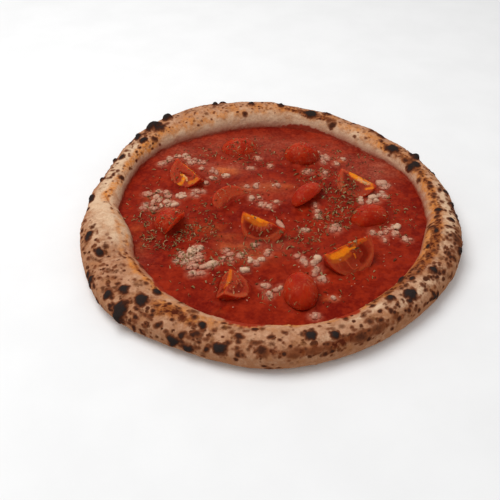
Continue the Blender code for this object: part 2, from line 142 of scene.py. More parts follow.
# What shows on the cut faces: piece, face, kind, half width in millimetres, strength, then the
# line's points: along the core and down the face's slope, in millimetres.
FACE_MARKS = (
    (3, 0, "gel", 6.0, 1.0, (-14, -6), (0, -5), (14, -7)),
    (3, 0, "rim", 3.6, 0.30, (-15.5, -3), (-12, 3), (-6, 7.5), (2, 8), (9, 6), (15, 1)),
    (3, 0, "rim", 0.8, 0.6, (-14.6, -2.6), (-9.6, 3.3), (-3.6, 6.4), (1.3, 7.0)),
    (3, 0, "rim", 0.6, 0.5, (-7.7, -3.4), (-2.5, 1.4), (3.1, 2.6)),
    (3, 0, "rim", 1.6, 0.6, (4.8, 3.3), (10.3, 1.9), (14.5, -1.1)),
    # Piece 4: painted light over its cut face, which lies in shade, and the brighter rim colour over
    # the whole face for the same end; then a pale band.
    (4, 0, "thin", 12.0, 1.0, (-12, 0), (12, 0)),
    (4, 0, "rim", 9.0, 1.0, (-12, 0), (12, 0)),
    (4, 0, "pale", 3.0, 0.4, (10, -8), (15, -3)),
    # Piece 6: painted light over its cut face, which lies in shade.
    (6, 0, "thin", 18.0, 1.0, (-8, 0), (8, 0)),
    (6, 0, "gel", 8.0, 0.6, (-6, -3), (6, -3)),
    (6, 0, "rim", 4.5, 1.0, (-14, -2), (-11, -10), (0, -15), (9, -12), (14, -3)),
    (6, 0, "pale", 2.6, 0.35, (-10, -10), (0, -14), (9, -11), (12, -6)),
    (8, 0, "core", 1.0, 0.7, (-15.3, 1.9), (-9.8, 1.6)),
    (8, 0, "core", 1.6, 1.0, (-8.4, 1.0), (-4.9, 1.6), (-1.4, 1.8)),
    (8, 0, "core", 1.0, 0.8, (-2.9, 1.7), (2.6, 1.0)),
    (8, 0, "core", 2.4, 0.45, (-12.3, 3.1), (-7.0, 3.8), (-2.7, 4.1), (1.5, 2.3)),
    (8, 0, "core", 1.0, 0.35, (-16.6, 2.8), (-15.2, 8.0)),
    (8, 0, "gel", 3.2, 1.0, (-9.7, 8.6), (-5.7, 11.6), (-1.0, 12.6), (4.8, 11.0), (9.4, 7.2),
     (11.5, 3.0)),
    (8, 0, "rim", 1.0, 0.75, (-16.2, 5.0), (-13.9, 10.8), (-7.6, 15.6), (-0.6, 16.3), (5.1, 14.3),
     (10.5, 9.6), (13.8, 4.1), (16.4, 0.6)),
    (8, 0, "pale", 0.7, 0.8, (-11.8, 3.6), (-11.0, 3.4)),
    (9, 0, "core", 2.4, 1.0, (-13.8, 4.0), (-11.0, 4.5), (-6.8, 4.5), (-2.3, 3.8)),
    (9, 0, "core", 0.9, 0.9, (-2.3, 3.9), (4.1, 4.6)),
    (9, 0, "core", 1.6, 0.25, (-15.3, 7.0), (-10.5, 8.4), (-5.3, 8.2), (-1.3, 7.4)),
    (9, 0, "core", 1.0, 0.4, (-17.7, 1.1), (-16.6, 3.9)),
    (9, 0, "core", 1.4, 0.3, (3.9, 2.2), (8.2, 2.0), (15.1, 2.0)),
    (9, 0, "core", 0.5, 0.6, (1.7, 8.4), (2.0, 11.3)),
    (9, 0, "rim", 0.45, 0.9, (-6.5, 9.3), (-5.5, 12.4), (-4.6, 15.9), (-3.1, 18.1), (0.5, 18.3)),
    (9, 0, "rim", 0.4, 0.7, (-11.6, 8.4), (-12.3, 10.7), (-12.0, 13.6)),
    (9, 0, "rim", 1.0, 0.9, (17.1, 3.8), (17.3, 8.6), (15.4, 13.3), (11.6, 16.4), (6.7, 19.1),
     (0.8, 20.5)),
    (9, 0, "gel", 2.2, 1.0, (10.1, 5.6), (11.6, 9.4), (10.4, 12.6), (5.6, 15.6)),
    (9, 0, "gel", 3.0, 0.35, (-2.0, 12.0), (4.0, 11.0)),
    (9, 0, "gel", 2.0, 0.3, (-9.0, 12.0), (-8.0, 16.0)),
    (10, 0, "core", 1.5, 1.0, (-6.9, 1.3), (-1.6, 2.1), (3.6, 2.4)),
    (10, 0, "core", 0.6, 0.9, (-6.4, 0.5), (3.9, 0.4), (11.7, 0.7)),
    (10, 0, "pale", 1.3, 0.9, (1.0, 2.6), (5.3, 2.7), (10.0, 2.5)),
    (10, 0, "core", 0.9, 0.8, (11.7, 0.9), (15.0, 3.8), (10.9, 7.0)),
    (10, 0, "rim", 1.3, 0.9, (-16.2, 1.0), (-13.7, 5.9), (-8.7, 12.5), (-3.7, 15.9)),
    (10, 0, "rim", 1.2, 0.7, (-16.4, 0.6), (-8.1, 0.9)),
    (10, 0, "gel", 3.5, 1.0, (-11.3, 4.0), (-6.8, 9.0), (-1.1, 11.5), (5.0, 10.0)),
    (10, 0, "gel", 2.2, 0.6, (-4.0, 6.5), (4.0, 7.0), (8.0, 6.0)),
    (11, 0, "gel", 0.9, 0.9, (-4.1, 7.2), (2.3, 5.4), (7.1, 4.1)),
    (11, 0, "core", 0.9, 1.0, (-0.9, 7.9), (2.1, 7.7), (3.5, 9.5), (4.5, 11.0)),
    (11, 0, "pale", 0.7, 1.0, (1.1, 7.4), (5.1, 7.4), (8.0, 8.8)),
    (11, 0, "core", 1.6, 0.75, (3.2, 9.0), (5.3, 12.8), (4.1, 15.4)),
    (11, 0, "core", 1.9, 0.5, (11.0, 8.0), (13.2, 5.5), (13.5, 2.5)),
    (11, 0, "gel", 0.8, 1.0, (8.4, 9.3), (9.0, 8.9)),
    (11, 0, "rim", 1.6, 0.5, (-16.0, 2.0), (-12.5, 8.7), (-7.1, 13.9), (0.6, 18.0)),
    (11, 0, "rim", 1.2, 0.4, (-10.6, 0.6), (0.0, 0.8), (10.2, 1.0)),
    (12, 0, "core", 1.0, 0.45, (11.8, 0.5), (6.3, 1.0), (0.2, 1.1), (-5.0, 0.4)),
    (12, 1, "core", 1.0, 0.3, (11.6, 0.3), (3.7, 0.4), (-4.5, 0.6), (-6.4, 2.1)),
    (12, 0, "rim", 1.0, 0.5, (11.5, 2.1), (11.8, 6.7), (9.7, 10.2), (5.5, 14.0), (0.5, 16.0)),
    (12, 0, "gel", 2.6, 0.9, (3.0, 10.5), (-4.0, 10.0), (-8.5, 5.0)),
    (12, 0, "rim", 1.4, 1.0, (-12.2, 1.0), (-12.0, 5.5), (-9.0, 11.0), (-4.3, 15.0)),
    (12, 1, "rim", 1.2, 0.8, (11.7, 2.6), (10.4, 7.7), (4.6, 9.9), (-3.8, 11.0)),
    (12, 1, "rim", 1.3, 0.9, (-12.0, 0.5), (-12.0, 4.4)),
    (12, 1, "gel", 2.0, 0.9, (-8.5, 2.0), (-7.0, 6.0)),
)
# Seeds on the cut faces: piece, face, then both ends of each seed.
SEEDS = (
    (8, 0, (-8.4, 10.1, -8.2, 7.6), (-5.3, 10.5, -5.7, 7.7), (-1.7, 10.2, -2.5, 7.7),
     (1.0, 8.7, 0.1, 6.2), (2.8, 6.3, 2.4, 4.4), (4.9, 3.8, 3.4, 2.2), (6.7, 2.2, 5.5, 1.2)),
    (12, 0, (8.6, 4.5, 7.8, 5.8), (5.8, 7.0, 5.0, 9.1), (3.6, 6.2, 1.1, 7.4), (3.7, 9.7, 1.7, 11.5),
     (-6.2, 5.3, -9.5, 6.0), (-5.6, 3.0, -7.3, 3.6)),
)
SEED_WIDTH = 0.5 * MM

# ---------------------------------------------------------------- places seen on the surface

# Flat scorch marks: bearing, over, length and width in millimetres, how black from 0 to 1.
SCORCHES = (
    (133, 98, 12, 9, 0.9), (142, 72, 7, 5, 1), (142, 101, 8, 4, 1), (139, 85, 5, 4, 0.6),
    (146, 83, 5, 3, 0.5), (138, 126, 6, 6, 0.75), (137, 158, 3, 3, 0.6), (141, 154, 3, 2, 0.6),
    (152, 143, 3, 3, 0.7), (158, 142, 4, 3, 0.6), (157, 151, 3, 2, 0.5), (155, 84, 8, 5, 0.95),
    (152, 97, 3, 2, 0.6), (153, 104, 3, 3, 0.5), (165, 130, 5.5, 5.5, 0.8), (163, 101, 5, 3, 0.65),
    (165, 92, 5, 3, 0.8), (167, 88, 4, 3, 0.7), (163, 79, 3, 5, 0.55), (171, 84, 3, 2, 0.4),
    (178, 108, 3, 3, 0.5), (176, 95, 2, 2, 0.6), (186, 117, 6, 2.5, 0.45), (187, 146, 8, 5, 0.6),
    (183, 37, 4, 4, 1), (191, 42, 6, 4, 0.75), (195, 32, 5, 3, 0.85), (198, 28, 5, 3, 0.8),
    (200, 50, 8, 6, 0.9), (200, 77, 6, 2.5, 0.55), (204, 76, 5, 2.5, 0.6), (204, 94, 4, 2, 0.5),
    (206, 99, 3, 2, 0.4), (209, 100, 2, 2, 0.5), (212, 22, 6, 5, 0.95), (215, 12, 7, 8, 0.95),
    (221, -3, 6, 5, 0.9), (224, 41, 5, 7, 1), (230, 8, 11, 11, 1), (235, 0, 3, 8, 0.8),
    (238, -5, 3, 5, 0.6), (240, 12, 2, 2, 0.6), (211, 112, 6, 3, 0.6), (218, 98, 3, 1.5, 0.5),
    (222, 88, 3, 2, 0.5), (213, 76, 4, 2, 0.5), (217, 74, 3, 2, 0.45), (212, 57, 3, 2.5, 0.6),
    (218, 57, 3, 2.5, 0.5), (221, 61, 3, 3, 0.6), (219, 157, 6, 4, 0.9), (238, 60, 3, 3, 0.6),
    (238, 24, 5, 3, 0.55), (242, 55, 3.5, 3, 0.75), (241, 39, 4.5, 3.5, 0.6), (248, 40, 4, 4, 0.9),
    (244, 73, 3.5, 3, 0.8), (240, 80, 2.5, 2.5, 0.7), (240, 105, 3.5, 3, 0.75),
    (238, 92, 2.5, 2, 0.7), (245, 94, 4, 3, 0.7), (249, 98, 3.5, 4, 0.8), (249, 80, 3, 4, 0.7),
    (248, 116, 6, 6, 0.6), (242, 141, 3, 8, 0.7), (246, 12, 7, 8, 1), (250, 2, 7, 6, 0.95),
    (255, 24, 4, 4.5, 0.9), (258, 33, 7, 7, 0.9), (253, 22, 3, 3, 0.6), (252, 58, 5, 4, 0.65),
    (254, 52, 4, 3, 0.55), (255, 108, 3, 2, 0.5), (259, 111, 4, 2.5, 0.6), (262, 84, 5, 4, 0.85),
    (262, 67, 2.5, 5, 0.7), (266, 106, 5, 2.5, 0.9), (266, 69, 6, 4, 0.6), (268, 47, 8, 7, 0.75),
    (270, 84, 3, 2, 0.5), (274, 95, 3, 3, 0.55), (275, 33, 10, 5, 0.5), (280, 40, 14, 6, 0.5),
    (276, 50, 12, 5, 0.45), (284, 30, 4, 6, 0.55), (283, 107, 3.5, 3.5, 0.6), (276, 107, 2, 3, 0.4),
    (291, 115, 4, 4, 0.7), (291, 80, 3, 3, 0.6), (292, 42, 12, 8, 0.65), (297, 38, 12, 8, 0.55),
    (303, 48, 8, 5, 0.4), (296, 75, 5, 6, 0.65), (299, 62, 6, 3.5, 0.75), (303, 70, 4, 4.5, 0.8),
    (306, 77, 3, 3, 0.65), (300, 111, 5, 3, 0.85), (300, 133, 3, 8, 0.55), (308, 128, 4, 4, 0.6),
    (310, 63, 5, 4, 0.9), (317, 104, 5, 3.5, 0.95), (316, 146, 6, 4, 0.95), (317, 74, 3.5, 5, 0.65),
    (321, 63, 3, 2.5, 0.6), (319, 112, 4, 4, 0.5), (320, 46, 3, 3, 0.4), (326, 55, 6, 3.5, 0.75),
    (330, 45, 4, 3, 0.45), (333, 50, 4.5, 4, 0.75), (328, 78, 4, 3, 0.65), (335, 85, 7, 2, 0.7),
    (332, 95, 4, 2, 0.6), (318, 22, 3, 6, 0.95), (320, 6, 3, 7, 0.95), (329, 0, 8, 3, 0.5),
    (337, 32, 4, 5, 0.9), (340, 14, 5, 6, 0.95), (341, 55, 14, 12, 0.62), (341, 78, 4, 3, 0.85),
    (345, 85, 3, 6, 0.8), (340, 60, 4, 4, 0.8), (343, 45, 5, 5, 0.75), (345, 60, 4, 8, 0.6),
    (335, 128, 5, 3.5, 0.95), (342, 112, 6, 3.5, 1), (345, 130, 3.5, 6, 0.75),
    (347, 144, 3.5, 6, 0.75), (351, 116, 5, 5, 0.75), (355, 107, 5.5, 6, 0.95),
    (338, 108, 3, 3, 0.7), (330, 115, 4, 4, 0.7), (333, 104, 4, 4, 0.7), (326, 118, 4, 5, 0.6),
    (348, 112, 3, 3, 0.7), (355, 46, 4, 8, 0.95), (362, 95, 4, 3, 0.6), (360, 120, 4, 5, 0.5),
    (4, 105, 5, 4, 0.65), (8, 105, 5, 5, 0.75), (14, 140, 6, 5, 0.7), (10, 102, 5, 4, 0.7),
    (22, 130, 8, 8, 0.95), (19, 112, 3, 6, 0.6), (26, 118, 7, 5, 0.75), (17, 108, 5, 3, 0.65),
    (25, 100, 8, 10, 0.6), (43, 70, 10, 6, 0.8), (47, 75, 6, 6, 0.7), (41, 95, 5, 5, 0.5),
    (46, 123, 4, 3, 0.5), (51, 140, 4, 3, 0.6), (55, 72, 4, 5, 0.8), (62, 132, 6, 8, 0.8),
    (64, 118, 5, 7, 0.55), (76, 98, 6, 5, 0.6), (66, 78, 9, 5, 0.8), (70, 112, 6, 6, 0.6),
    (72, 90, 9, 5, 0.7), (91, 78, 3, 3, 0.7), (91, 108, 2, 2, 0.6), (95, 112, 2.5, 2.5, 0.5),
    (98, 134, 5.5, 5, 0.7), (109, 87, 4, 4, 0.6), (101, 100, 2.5, 3, 0.5), (105, 113, 2, 2, 0.5),
    (110, 108, 2.5, 2, 0.55), (115, 118, 2.5, 2, 0.5), (120, 105, 3, 2.5, 0.5),
    (125, 112, 2.5, 2.5, 0.5), (112, 135, 2, 2, 0.6), (118, 144, 3, 2.5, 0.6), (86, 128, 2, 2, 0.5),
)

# Soft zones of the crust: bearing, over, half sizes in degrees along and across, strength.
TOASTED = (
    (142, 150, 6, 14, 1.0), (146, 130, 7, 16, 0.9), (156, 132, 9, 18, 0.9), (165, 140, 6, 10, 0.6),
    (170, 120, 4, 8, 0.9), (173, 105, 6, 10, 0.8), (178, 97, 3, 14, 0.8), (186, 117, 3, 5, 0.6),
    (200, 118, 10, 8, 0.6), (222, 126, 14, 12, 1.0), (232, 124, 5, 8, 0.8), (243, 92, 8, 18, 0.9),
    (250, 110, 6, 14, 0.6), (272, 140, 8, 20, 0.6), (300, 135, 9, 22, 0.8), (327, 135, 10, 16, 0.9),
    (333, 108, 14, 12, 1.0), (346, 112, 10, 14, 0.9), (360, 112, 12, 16, 0.9),
    (10, 120, 10, 24, 0.9), (24, 110, 10, 22, 0.9), (44, 100, 10, 18, 0.5), (68, 115, 10, 24, 0.5),
    (80, 106, 6, 14, 0.9), (92, 118, 9, 26, 0.42), (108, 126, 12, 28, 0.45), (122, 130, 10, 28, 0.55),
    (136, 120, 8, 20, 0.7), (56, 115, 8, 20, 0.5), (38, 120, 8, 26, 0.7), (262, 112, 8, 5, 0.6),
    (277, 137, 9, 9, 0.9), (285, 122, 8, 6, 0.5), (309, 130, 9, 16, 0.9), (333, 140, 16, 16, 0.9),
    (350, 132, 10, 16, 0.7), (95, 92, 34, 14, 0.35), (272, 160, 12, 9, 0.8), (286, 152, 8, 9, 0.7),
    (204, 138, 8, 9, 0.5), (194, 134, 7, 10, 0.4), (168, 112, 9, 14, 0.4), (147, 118, 5, 12, 1.0),
    (158, 118, 4, 9, 1.0), (167, 122, 4, 8, 0.9), (178, 104, 4, 10, 1.0),
)
# Flour on the dough. The rows at over 150 and more lie on the far side's inner wall: there they are
# painted light, which lightens the foot of the wall where it lies in shade.
FLOUR_AND_PAINTED_LIGHT = (
    (147, 103, 3.5, 12, 1.0), (183, 85, 5, 32, 0.85), (190, 100, 8, 24, 0.5), (196, 103, 4, 10, 0.8),
    (203, 104, 3, 7, 0.8), (181, 60, 3, 24, 0.9), (301, 97, 2, 7, 0.8), (294, 97, 5, 6, 0.5),
    (353, 74, 14, 22, 0.7), (283, 70, 2.5, 16, 0.2), (120, 152, 14, 14, 0.6), (200, 75, 8, 14, 0.3),
    (270, -40, 200, 16, 0.5), (192, 92, 12, 34, 0.35), (200, 122, 9, 24, 0.4), (90, 150, 60, 26, 0.42),
    (40, 158, 30, 18, 0.45), (160, 152, 18, 22, 0.6), (52, 118, 6, 20, 0.5), (5, 150, 14, 18, 0.3),
    (90, 168, 60, 14, 0.8), (150, 166, 28, 14, 0.8), (30, 168, 30, 12, 0.7), (190, 160, 14, 18, 0.5),
    (150, 125, 16, 26, 0.5), (0, 75, 14, 20, 0.5), (338, 90, 10, 8, 0.4), (314, 70, 13, 18, 0.6),
    (166, 110, 9, 16, 0.65), (90, 125, 40, 16, 0.4), (195, 136, 12, 18, 0.45),
    (158, 70, 16, 12, 0.4), (148, 140, 12, 16, 0.5), (152, 92, 8, 16, 1.0), (164, 98, 8, 22, 0.9),
    (174, 92, 8, 26, 0.9), (160, 138, 10, 12, 0.7),
)
MOTTLED = (
    (225, 50, 20, 45, 0.9), (215, 80, 8, 26, 0.9), (245, 40, 16, 45, 0.8), (265, 55, 14, 40, 0.9),
    (285, 40, 14, 30, 0.9), (300, 60, 12, 36, 0.7), (325, 50, 14, 45, 0.5), (340, 50, 10, 40, 0.6),
    (200, 50, 10, 24, 0.8), (355, 60, 14, 30, 0.4), (90, 30, 80, 40, 0.7), (160, 75, 14, 14, 0.5),
    (262, 85, 20, 20, 0.8), (235, 100, 14, 14, 0.7), (320, 75, 18, 24, 0.6), (100, 100, 46, 30, 0.5),
    (348, 62, 16, 26, 0.2), (275, 60, 30, 30, 0.55), (207, 60, 11, 30, 0.6), (90, 78, 80, 24, 0.4),
    (325, 60, 14, 34, 0.4),
)
# Red-brown crisp zones, on the ridge by the sauce and along the front.
CRISPED = (
    (326, 106, 12, 13, 1.0), (342, 112, 9, 14, 1.0), (336, 122, 6, 12, 0.8), (327, 134, 4, 14, 0.6),
    (352, 112, 8, 13, 0.6), (10, 112, 10, 18, 0.7), (272, 92, 16, 16, 0.25),
    (24, 116, 8, 24, 0.7), (36, 108, 6, 16, 0.6), (221, 131, 13, 7, 0.75), (243, 92, 9, 18, 0.9),
    (308, 130, 8, 16, 1.0), (318, 128, 8, 18, 0.9), (345, 142, 3.5, 14, 0.7), (278, 38, 12, 16, 0.7),
    (290, 46, 10, 14, 0.8), (299, 34, 9, 14, 0.5), (268, 50, 5, 12, 0.6), (70, 110, 10, 22, 0.9),
    (80, 104, 5, 10, 0.7), (96, 106, 6, 14, 0.2), (140, 145, 5, 12, 0.2), (155, 140, 6, 12, 0.2),
    (216, 80, 8, 24, 0.4), (244, 140, 3, 12, 0.6), (290, 128, 3, 10, 0.7), (207, 126, 6, 10, 0.3),
)
WRINKLED = (
    (193, 98, 15, 26, 1.0), (214, 82, 9, 28, 0.9), (228, 60, 9, 36, 0.4), (332, 96, 12, 18, 0.6),
)
# Where the sauce has run up the inside of the crust.
SMEARS = (
    (180, 178, 9, 14, 1.0), (207, 178, 8, 14, 1.0), (232, 160, 6, 34, 1.0), (262.5, 150, 8, 44, 1.0),
    (293, 147, 5, 34, 1.0), (345, 180, 12, 12, 0.6), (20, 182, 16, 10, 0.6), (60, 180, 30, 10, 0.6),
    (74, 176, 9, 16, 0.9),
)

# Lines where the dough folds in: half width and depth in millimetres, how burnt, then bearing and
# over along the line.
CREASES = (
    (0.9, 1.0, 0.25, (178, 96), (180, 110), (183, 128), (187, 148), (190, 165)),
    (2.6, 0.9, 0.0, (205, 40), (209, 80), (211, 110), (213, 140), (214, 165)),
)

# Chopped garlic in clumps: x, y, half length, half width in millimetres, how pale from 0 to 1.
GARLIC_CLUMPS = (
    (-90, 67, 4.5, 4.5, 0.25), (-84, 75, 3, 6, 0.5), (-78, 79, 4, 3, 0.5), (-71, 80, 3, 3, 0.6),
    (-69, 76, 4, 3, 0.4), (-66, 72, 3, 5, 0.3), (-62, 72, 3, 6, 0.4), (-58, 70, 3, 4, 0.25),
    (-54, 68, 3, 5, 0.25), (-65, 67, 3, 3, 0.3), (-55, 60, 2.5, 1.5, 0.6), (-46, 56, 2.5, 5, 0.2),
    (-42, 53, 1.5, 5, 0.3), (-45, 45, 4.5, 2, 0.6), (-34, 49, 3.5, 2, 1.0), (-13, 61, 4.5, 3, 0.2),
    (-50, 37, 1.5, 2, 0.4), (-97, 22, 5, 3, 0.05), (-88, 26, 3, 2.5, 0.8), (-82, 24, 3, 3, 0.5),
    (-80, 20, 3, 4, 0.4), (-89, 18, 4, 4, 0.4), (-86, 12, 3, 4, 0.6), (-84, 7, 1.5, 4.5, 1.0),
    (-79, 12, 4, 3, 0.7), (-74, 10, 4, 3, 0.4), (-79, 6, 3, 2, 0.5), (-97, 8, 3, 3, 0.4),
    (-98, 3, 3, 2.5, 0.5), (-92, 3, 3, 2, 0.4), (-88, 2, 4, 2, 0.4), (-91, 9, 3, 4, 0.4),
    (-68, 20, 4, 4, 0.9), (-72, 19, 2, 2, 0.4), (-60, 22, 4, 3, 0.3), (-58, 26, 5, 3, 0.3),
    (-53, 26, 3, 3, 0.3), (-57, 19, 2, 1.5, 0.3), (-16, 32, 2.5, 3, 0.3), (-8, 34, 3, 5, 0.35),
    (-12, 17, 3, 4, 0.6), (-6, 18, 2, 2, 0.8), (-3, 9, 4, 4, 0.6), (2, 6, 4, 3, 0.6),
    (8, 12, 3, 2, 0.5), (-6, 76, 3, 3, 0.4), (4, 64, 2, 3, 0.6), (8, 34, 4, 3, 0.3),
    (47, 86, 2.5, 3, 0.5), (52, 78, 5, 6, 0.35), (50, 70, 3, 3, 0.2), (61, 68, 3, 4, 0.3),
    (68, 75, 3, 3, 0.5), (36, 56, 5, 4, 0.15), (50, 53, 2.5, 6, 0.2), (98, 37, 6, 7, 0.35),
    (95, 25, 3, 3, 0.5), (96, 20, 3, 3, 0.5), (90, 22, 4, 3, 0.8), (86, 18, 4, 4, 0.9),
    (83, 13, 3, 3, 0.7), (88, 14, 4, 3, 0.7), (76, 14, 1.5, 5, 0.3), (39, 8, 2, 4, 0.5),
    (40, 0, 2.5, 3, 0.4), (40, -7, 2, 3, 0.4), (-52, -46, 4, 4, 0.9), (-58, -54, 3, 4, 0.8),
    (-63, -53, 3, 4, 0.4), (-66, -60, 2.5, 2.5, 0.6), (-60, -62, 4, 3, 0.5), (-54, -58, 4, 5, 0.6),
    (-50, -56, 3, 5, 0.5), (-56, -66, 4, 4, 0.5), (-52, -66, 3, 3, 0.4), (-44, -66, 3, 3, 0.8),
    (-40, -63, 3.5, 4, 1.0), (-54, -74, 4, 3.5, 0.4), (-48, -73, 4, 3, 0.4),
    (-33, -58, 3, 3, 0.35), (-28, -52, 3, 3, 0.3), (-31, -48, 3, 3, 0.2), (-27, -59, 2, 4, 0.3),
    (-20, -54, 4, 3, 0.25), (-13, -59, 2, 4, 0.9), (-9, -62, 3, 3, 0.3), (-5, -58, 2.5, 3, 0.8),
    (-17, -70, 3.5, 2.5, 1.0), (-9, -42, 4, 3, 0.3), (0, -51, 3, 4, 0.35), (-3, -86, 4, 3, 0.45),
    (0, -95, 3, 4, 0.5), (5, -91, 2, 3, 0.4), (8, -88, 2, 3, 0.4), (28, -24, 3.5, 2.5, 0.9),
    (52, -22, 5, 6, 0.1), (81, -27, 4, 3, 0.4), (86, -28, 3, 3, 0.5), (90, -26, 3, 3, 0.7),
    (93, -22, 4, 2, 0.6), (98, -20, 3, 4, 1.0), (97, -27, 3, 4, 0.7), (88, -33, 2, 5, 0.3),
    (105, -35, 4, 3, 0.5), (22, -54, 3, 2, 0.5), (25, -58, 3, 3, 0.5), (36, -57, 2.5, 4, 1.0),
    (33, -62, 3, 3, 0.6), (35, -68, 3, 4, 0.6), (27, -62, 2, 3, 0.5), (37, -79, 4, 3, 0.4),
    (33, -72, 2, 4, 0.4), (44, -98, 2.5, 1.5, 0.6), (30, -115, 4, 3.2, 0.4),
)

# Single larger pieces of garlic: x, y, length, width, thickness in millimetres, turn, how pale.
GARLIC_SLICES = (
    (10, -18, 13, 4.5, 3.5, -62, 0.35), (-74, 7, 8, 5, 3, 20, 0.9), (-41, -64, 9, 6, 4, 30, 0.9),
    (29, -24, 8, 4, 2.5, -5, 0.8), (-56, -50, 9, 7, 4, -30, 0.9), (86, 18, 9, 6, 4.5, 20, 0.95),
    (-34, 49, 9, 4.5, 3, 0, 0.9), (100, -20, 8, 6, 4, 60, 1.0), (36, -58, 6, 7, 4, 10, 1.0),
    (-17, -70, 8, 5, 3.5, 0, 1.0), (-46, -66, 10, 5, 3, 25, 0.5), (96, 38, 10, 9, 4, 0, 0.45),
)

# Pulp that stands up in the sauce: x, y, half length, half width, rise in millimetres, and how
# orange, where more than 1 makes the orange spot wider.
PULP = (
    (-101, -23, 5, 6, 1.5, 0.3), (-95, -45, 5, 8, 1.2, 0.2), (-94, 16, 7, 3, 1.0, 0.3),
    (102, 65, 8, 7, 1.2, 0.1), (8, 34, 8, 4, 1.2, 0.7), (18, 34, 6, 4, 1.0, 0.5),
    (-37, 57, 8, 5, 1.8, 1.7), (-28, 56, 5, 5, 1.6, 1.0), (-17, 30, 8, 7, 1.0, 0.6),
    (-1, 33, 14, 7, 0.9, 0.5), (-44, -22, 12, 6, 0.8, 0.3), (-32, -32, 12, 5, 0.8, 0.3),
    (-30, -44, 9, 6, 1.0, 0.5), (-18, -44, 7, 5, 0.9, 0.5), (101, 55, 5, 4, 1.0, 0.2),
    (114, 58, 5, 7, 1.0, 0.2), (42, -98, 7, 3, 0.8, 0.5), (-10, -55, 14, 8, 0.9, 0.4),
    (66, 72, 3, 2.5, 1.4, 0.9), (-105, -72, 10, 5, 0.8, 0.1), (-35, -112, 6, 3, 0.8, 0.1),
)

# Where juice has clouded the sauce, and, in the wide patches towards the back, a painted sheen on the
# sauce: x, y, half length, half width in millimetres, how much.
JUICE_AND_SHEEN_PATCHES = (
    (0, 98, 80, 20, 0.42), (95, 64, 26, 22, 0.60), (60, 80, 30, 16, 0.35), (-75, 85, 30, 18, 0.40),
    (-5, 30, 26, 14, 0.30), (-5, -42, 30, 10, 0.30), (-80, -5, 16, 12, 0.12),
    (-95, -60, 12, 20, 0.15), (-35, 62, 24, 14, 0.45), (92, -24, 14, 8, 0.25),
)

# Patches of dried oregano: x, y, half length, half width in millimetres, number of flakes.
OREGANO_PATCHES = (
    (60, 22, 16, 18, 185), (44, 48, 20, 12, 100), (57, -7, 18, 14, 130), (35, -24, 16, 17, 100),
    (-94, -9, 11, 11, 70), (-80, -36, 16, 14, 110), (-64, -27, 9, 12, 95), (-49, -25, 11, 15, 80),
    (-57, -56, 13, 14, 80), (-86, 14, 12, 14, 65), (-48, 0, 18, 12, 40), (-28, -56, 14, 12, 65),
    (-30, -84, 12, 15, 35), (10, -42, 24, 12, 80), (-8, 80, 30, 18, 80), (105, 0, 16, 24, 50),
    (-48, 86, 34, 14, 65), (60, -50, 16, 14, 20), (60, 75, 36, 16, 60), (0, 0, 114, 114, 760),
)


# ---------------------------------------------------------------- settings that a user can change

def colour(name, description, default):
    return bpy.props.FloatVectorProperty(name=name, description=description, default=default,
                                         size=3, min=0.0, max=1.0, subtype="COLOR")


def length(name, description, default):
    return bpy.props.FloatProperty(name=name, description=description, default=default,
                                   precision=5, unit="LENGTH", subtype="DISTANCE")


class CrustSettings(bpy.types.PropertyGroup):
    """Sizes and colours of the baked dough."""

    lump_depth: bpy.props.FloatProperty(
        name="Lump depth", description="Unevenness as a share of the ring's half width",
        default=0.07, min=0.0, max=0.2, subtype="FACTOR")
    wrinkle: length("Wrinkles", "Height of the fine unevenness of the dough", 0.35 * MM)
    dough: colour("Dough", "Plain baked dough", (0.470, 0.232, 0.132))
    pale: colour("Pale dough", "Dough that has stayed light", (0.580, 0.322, 0.190))
    # Tan is also the colour of the painted shade low on the ring's outer side.
    tan: colour("Tan dough", "Dough with more colour", (0.300, 0.120, 0.051))
    # Flour, and also painted light on the foot of the far inner wall.
    flour_and_painted_light: colour("Flour", "Dry flour on the dough", (0.650, 0.440, 0.283))
    toast: colour("Golden", "Golden toasted dough", (0.60, 0.215, 0.048))
    caramel: colour("Caramel", "Darker toasted dough", (0.265, 0.058, 0.013))
    crisp: colour("Crisp edges", "Red-brown edges of toasted dough", (0.080, 0.015, 0.006))
    mottle: colour("Mottles", "Brown freckles", (0.080, 0.024, 0.011))
    singed: colour("Singed", "Dough that is just browned", (0.170, 0.048, 0.018))
    brown: colour("Browned", "Edge of a burnt spot", (0.050, 0.016, 0.009))
    black: colour("Burnt", "Middle of a burnt spot", (0.025, 0.018, 0.016))
    stain: colour("Sauce stain", "Sauce that has run up the foot", (0.30, 0.022, 0.008))


class SauceSettings(bpy.types.PropertyGroup):
    """Sizes and colours of the tomato sauce."""

    wave: length("Waves", "Height of the sauce's unevenness", 0.55 * MM)
    creep: length("Creep", "How far the sauce climbs the tomatoes", 2.3 * MM)
    # Deep red is also the colour of the painted shade at the foot of the tomatoes.
    deep: colour("Deep red", "Thick, dark sauce", (0.142, 0.0045, 0.002))
    bright: colour("Bright red", "Thinner, brighter sauce", (0.32, 0.023, 0.006))
    pulp: colour("Pulp", "Orange tomato pulp", (0.56, 0.125, 0.030))
    # This colour also lays a painted sheen over the back of the sauce.
    juice_and_sheen: colour("Garlic juice", "Sauce that garlic has clouded", (0.42, 0.115, 0.065))


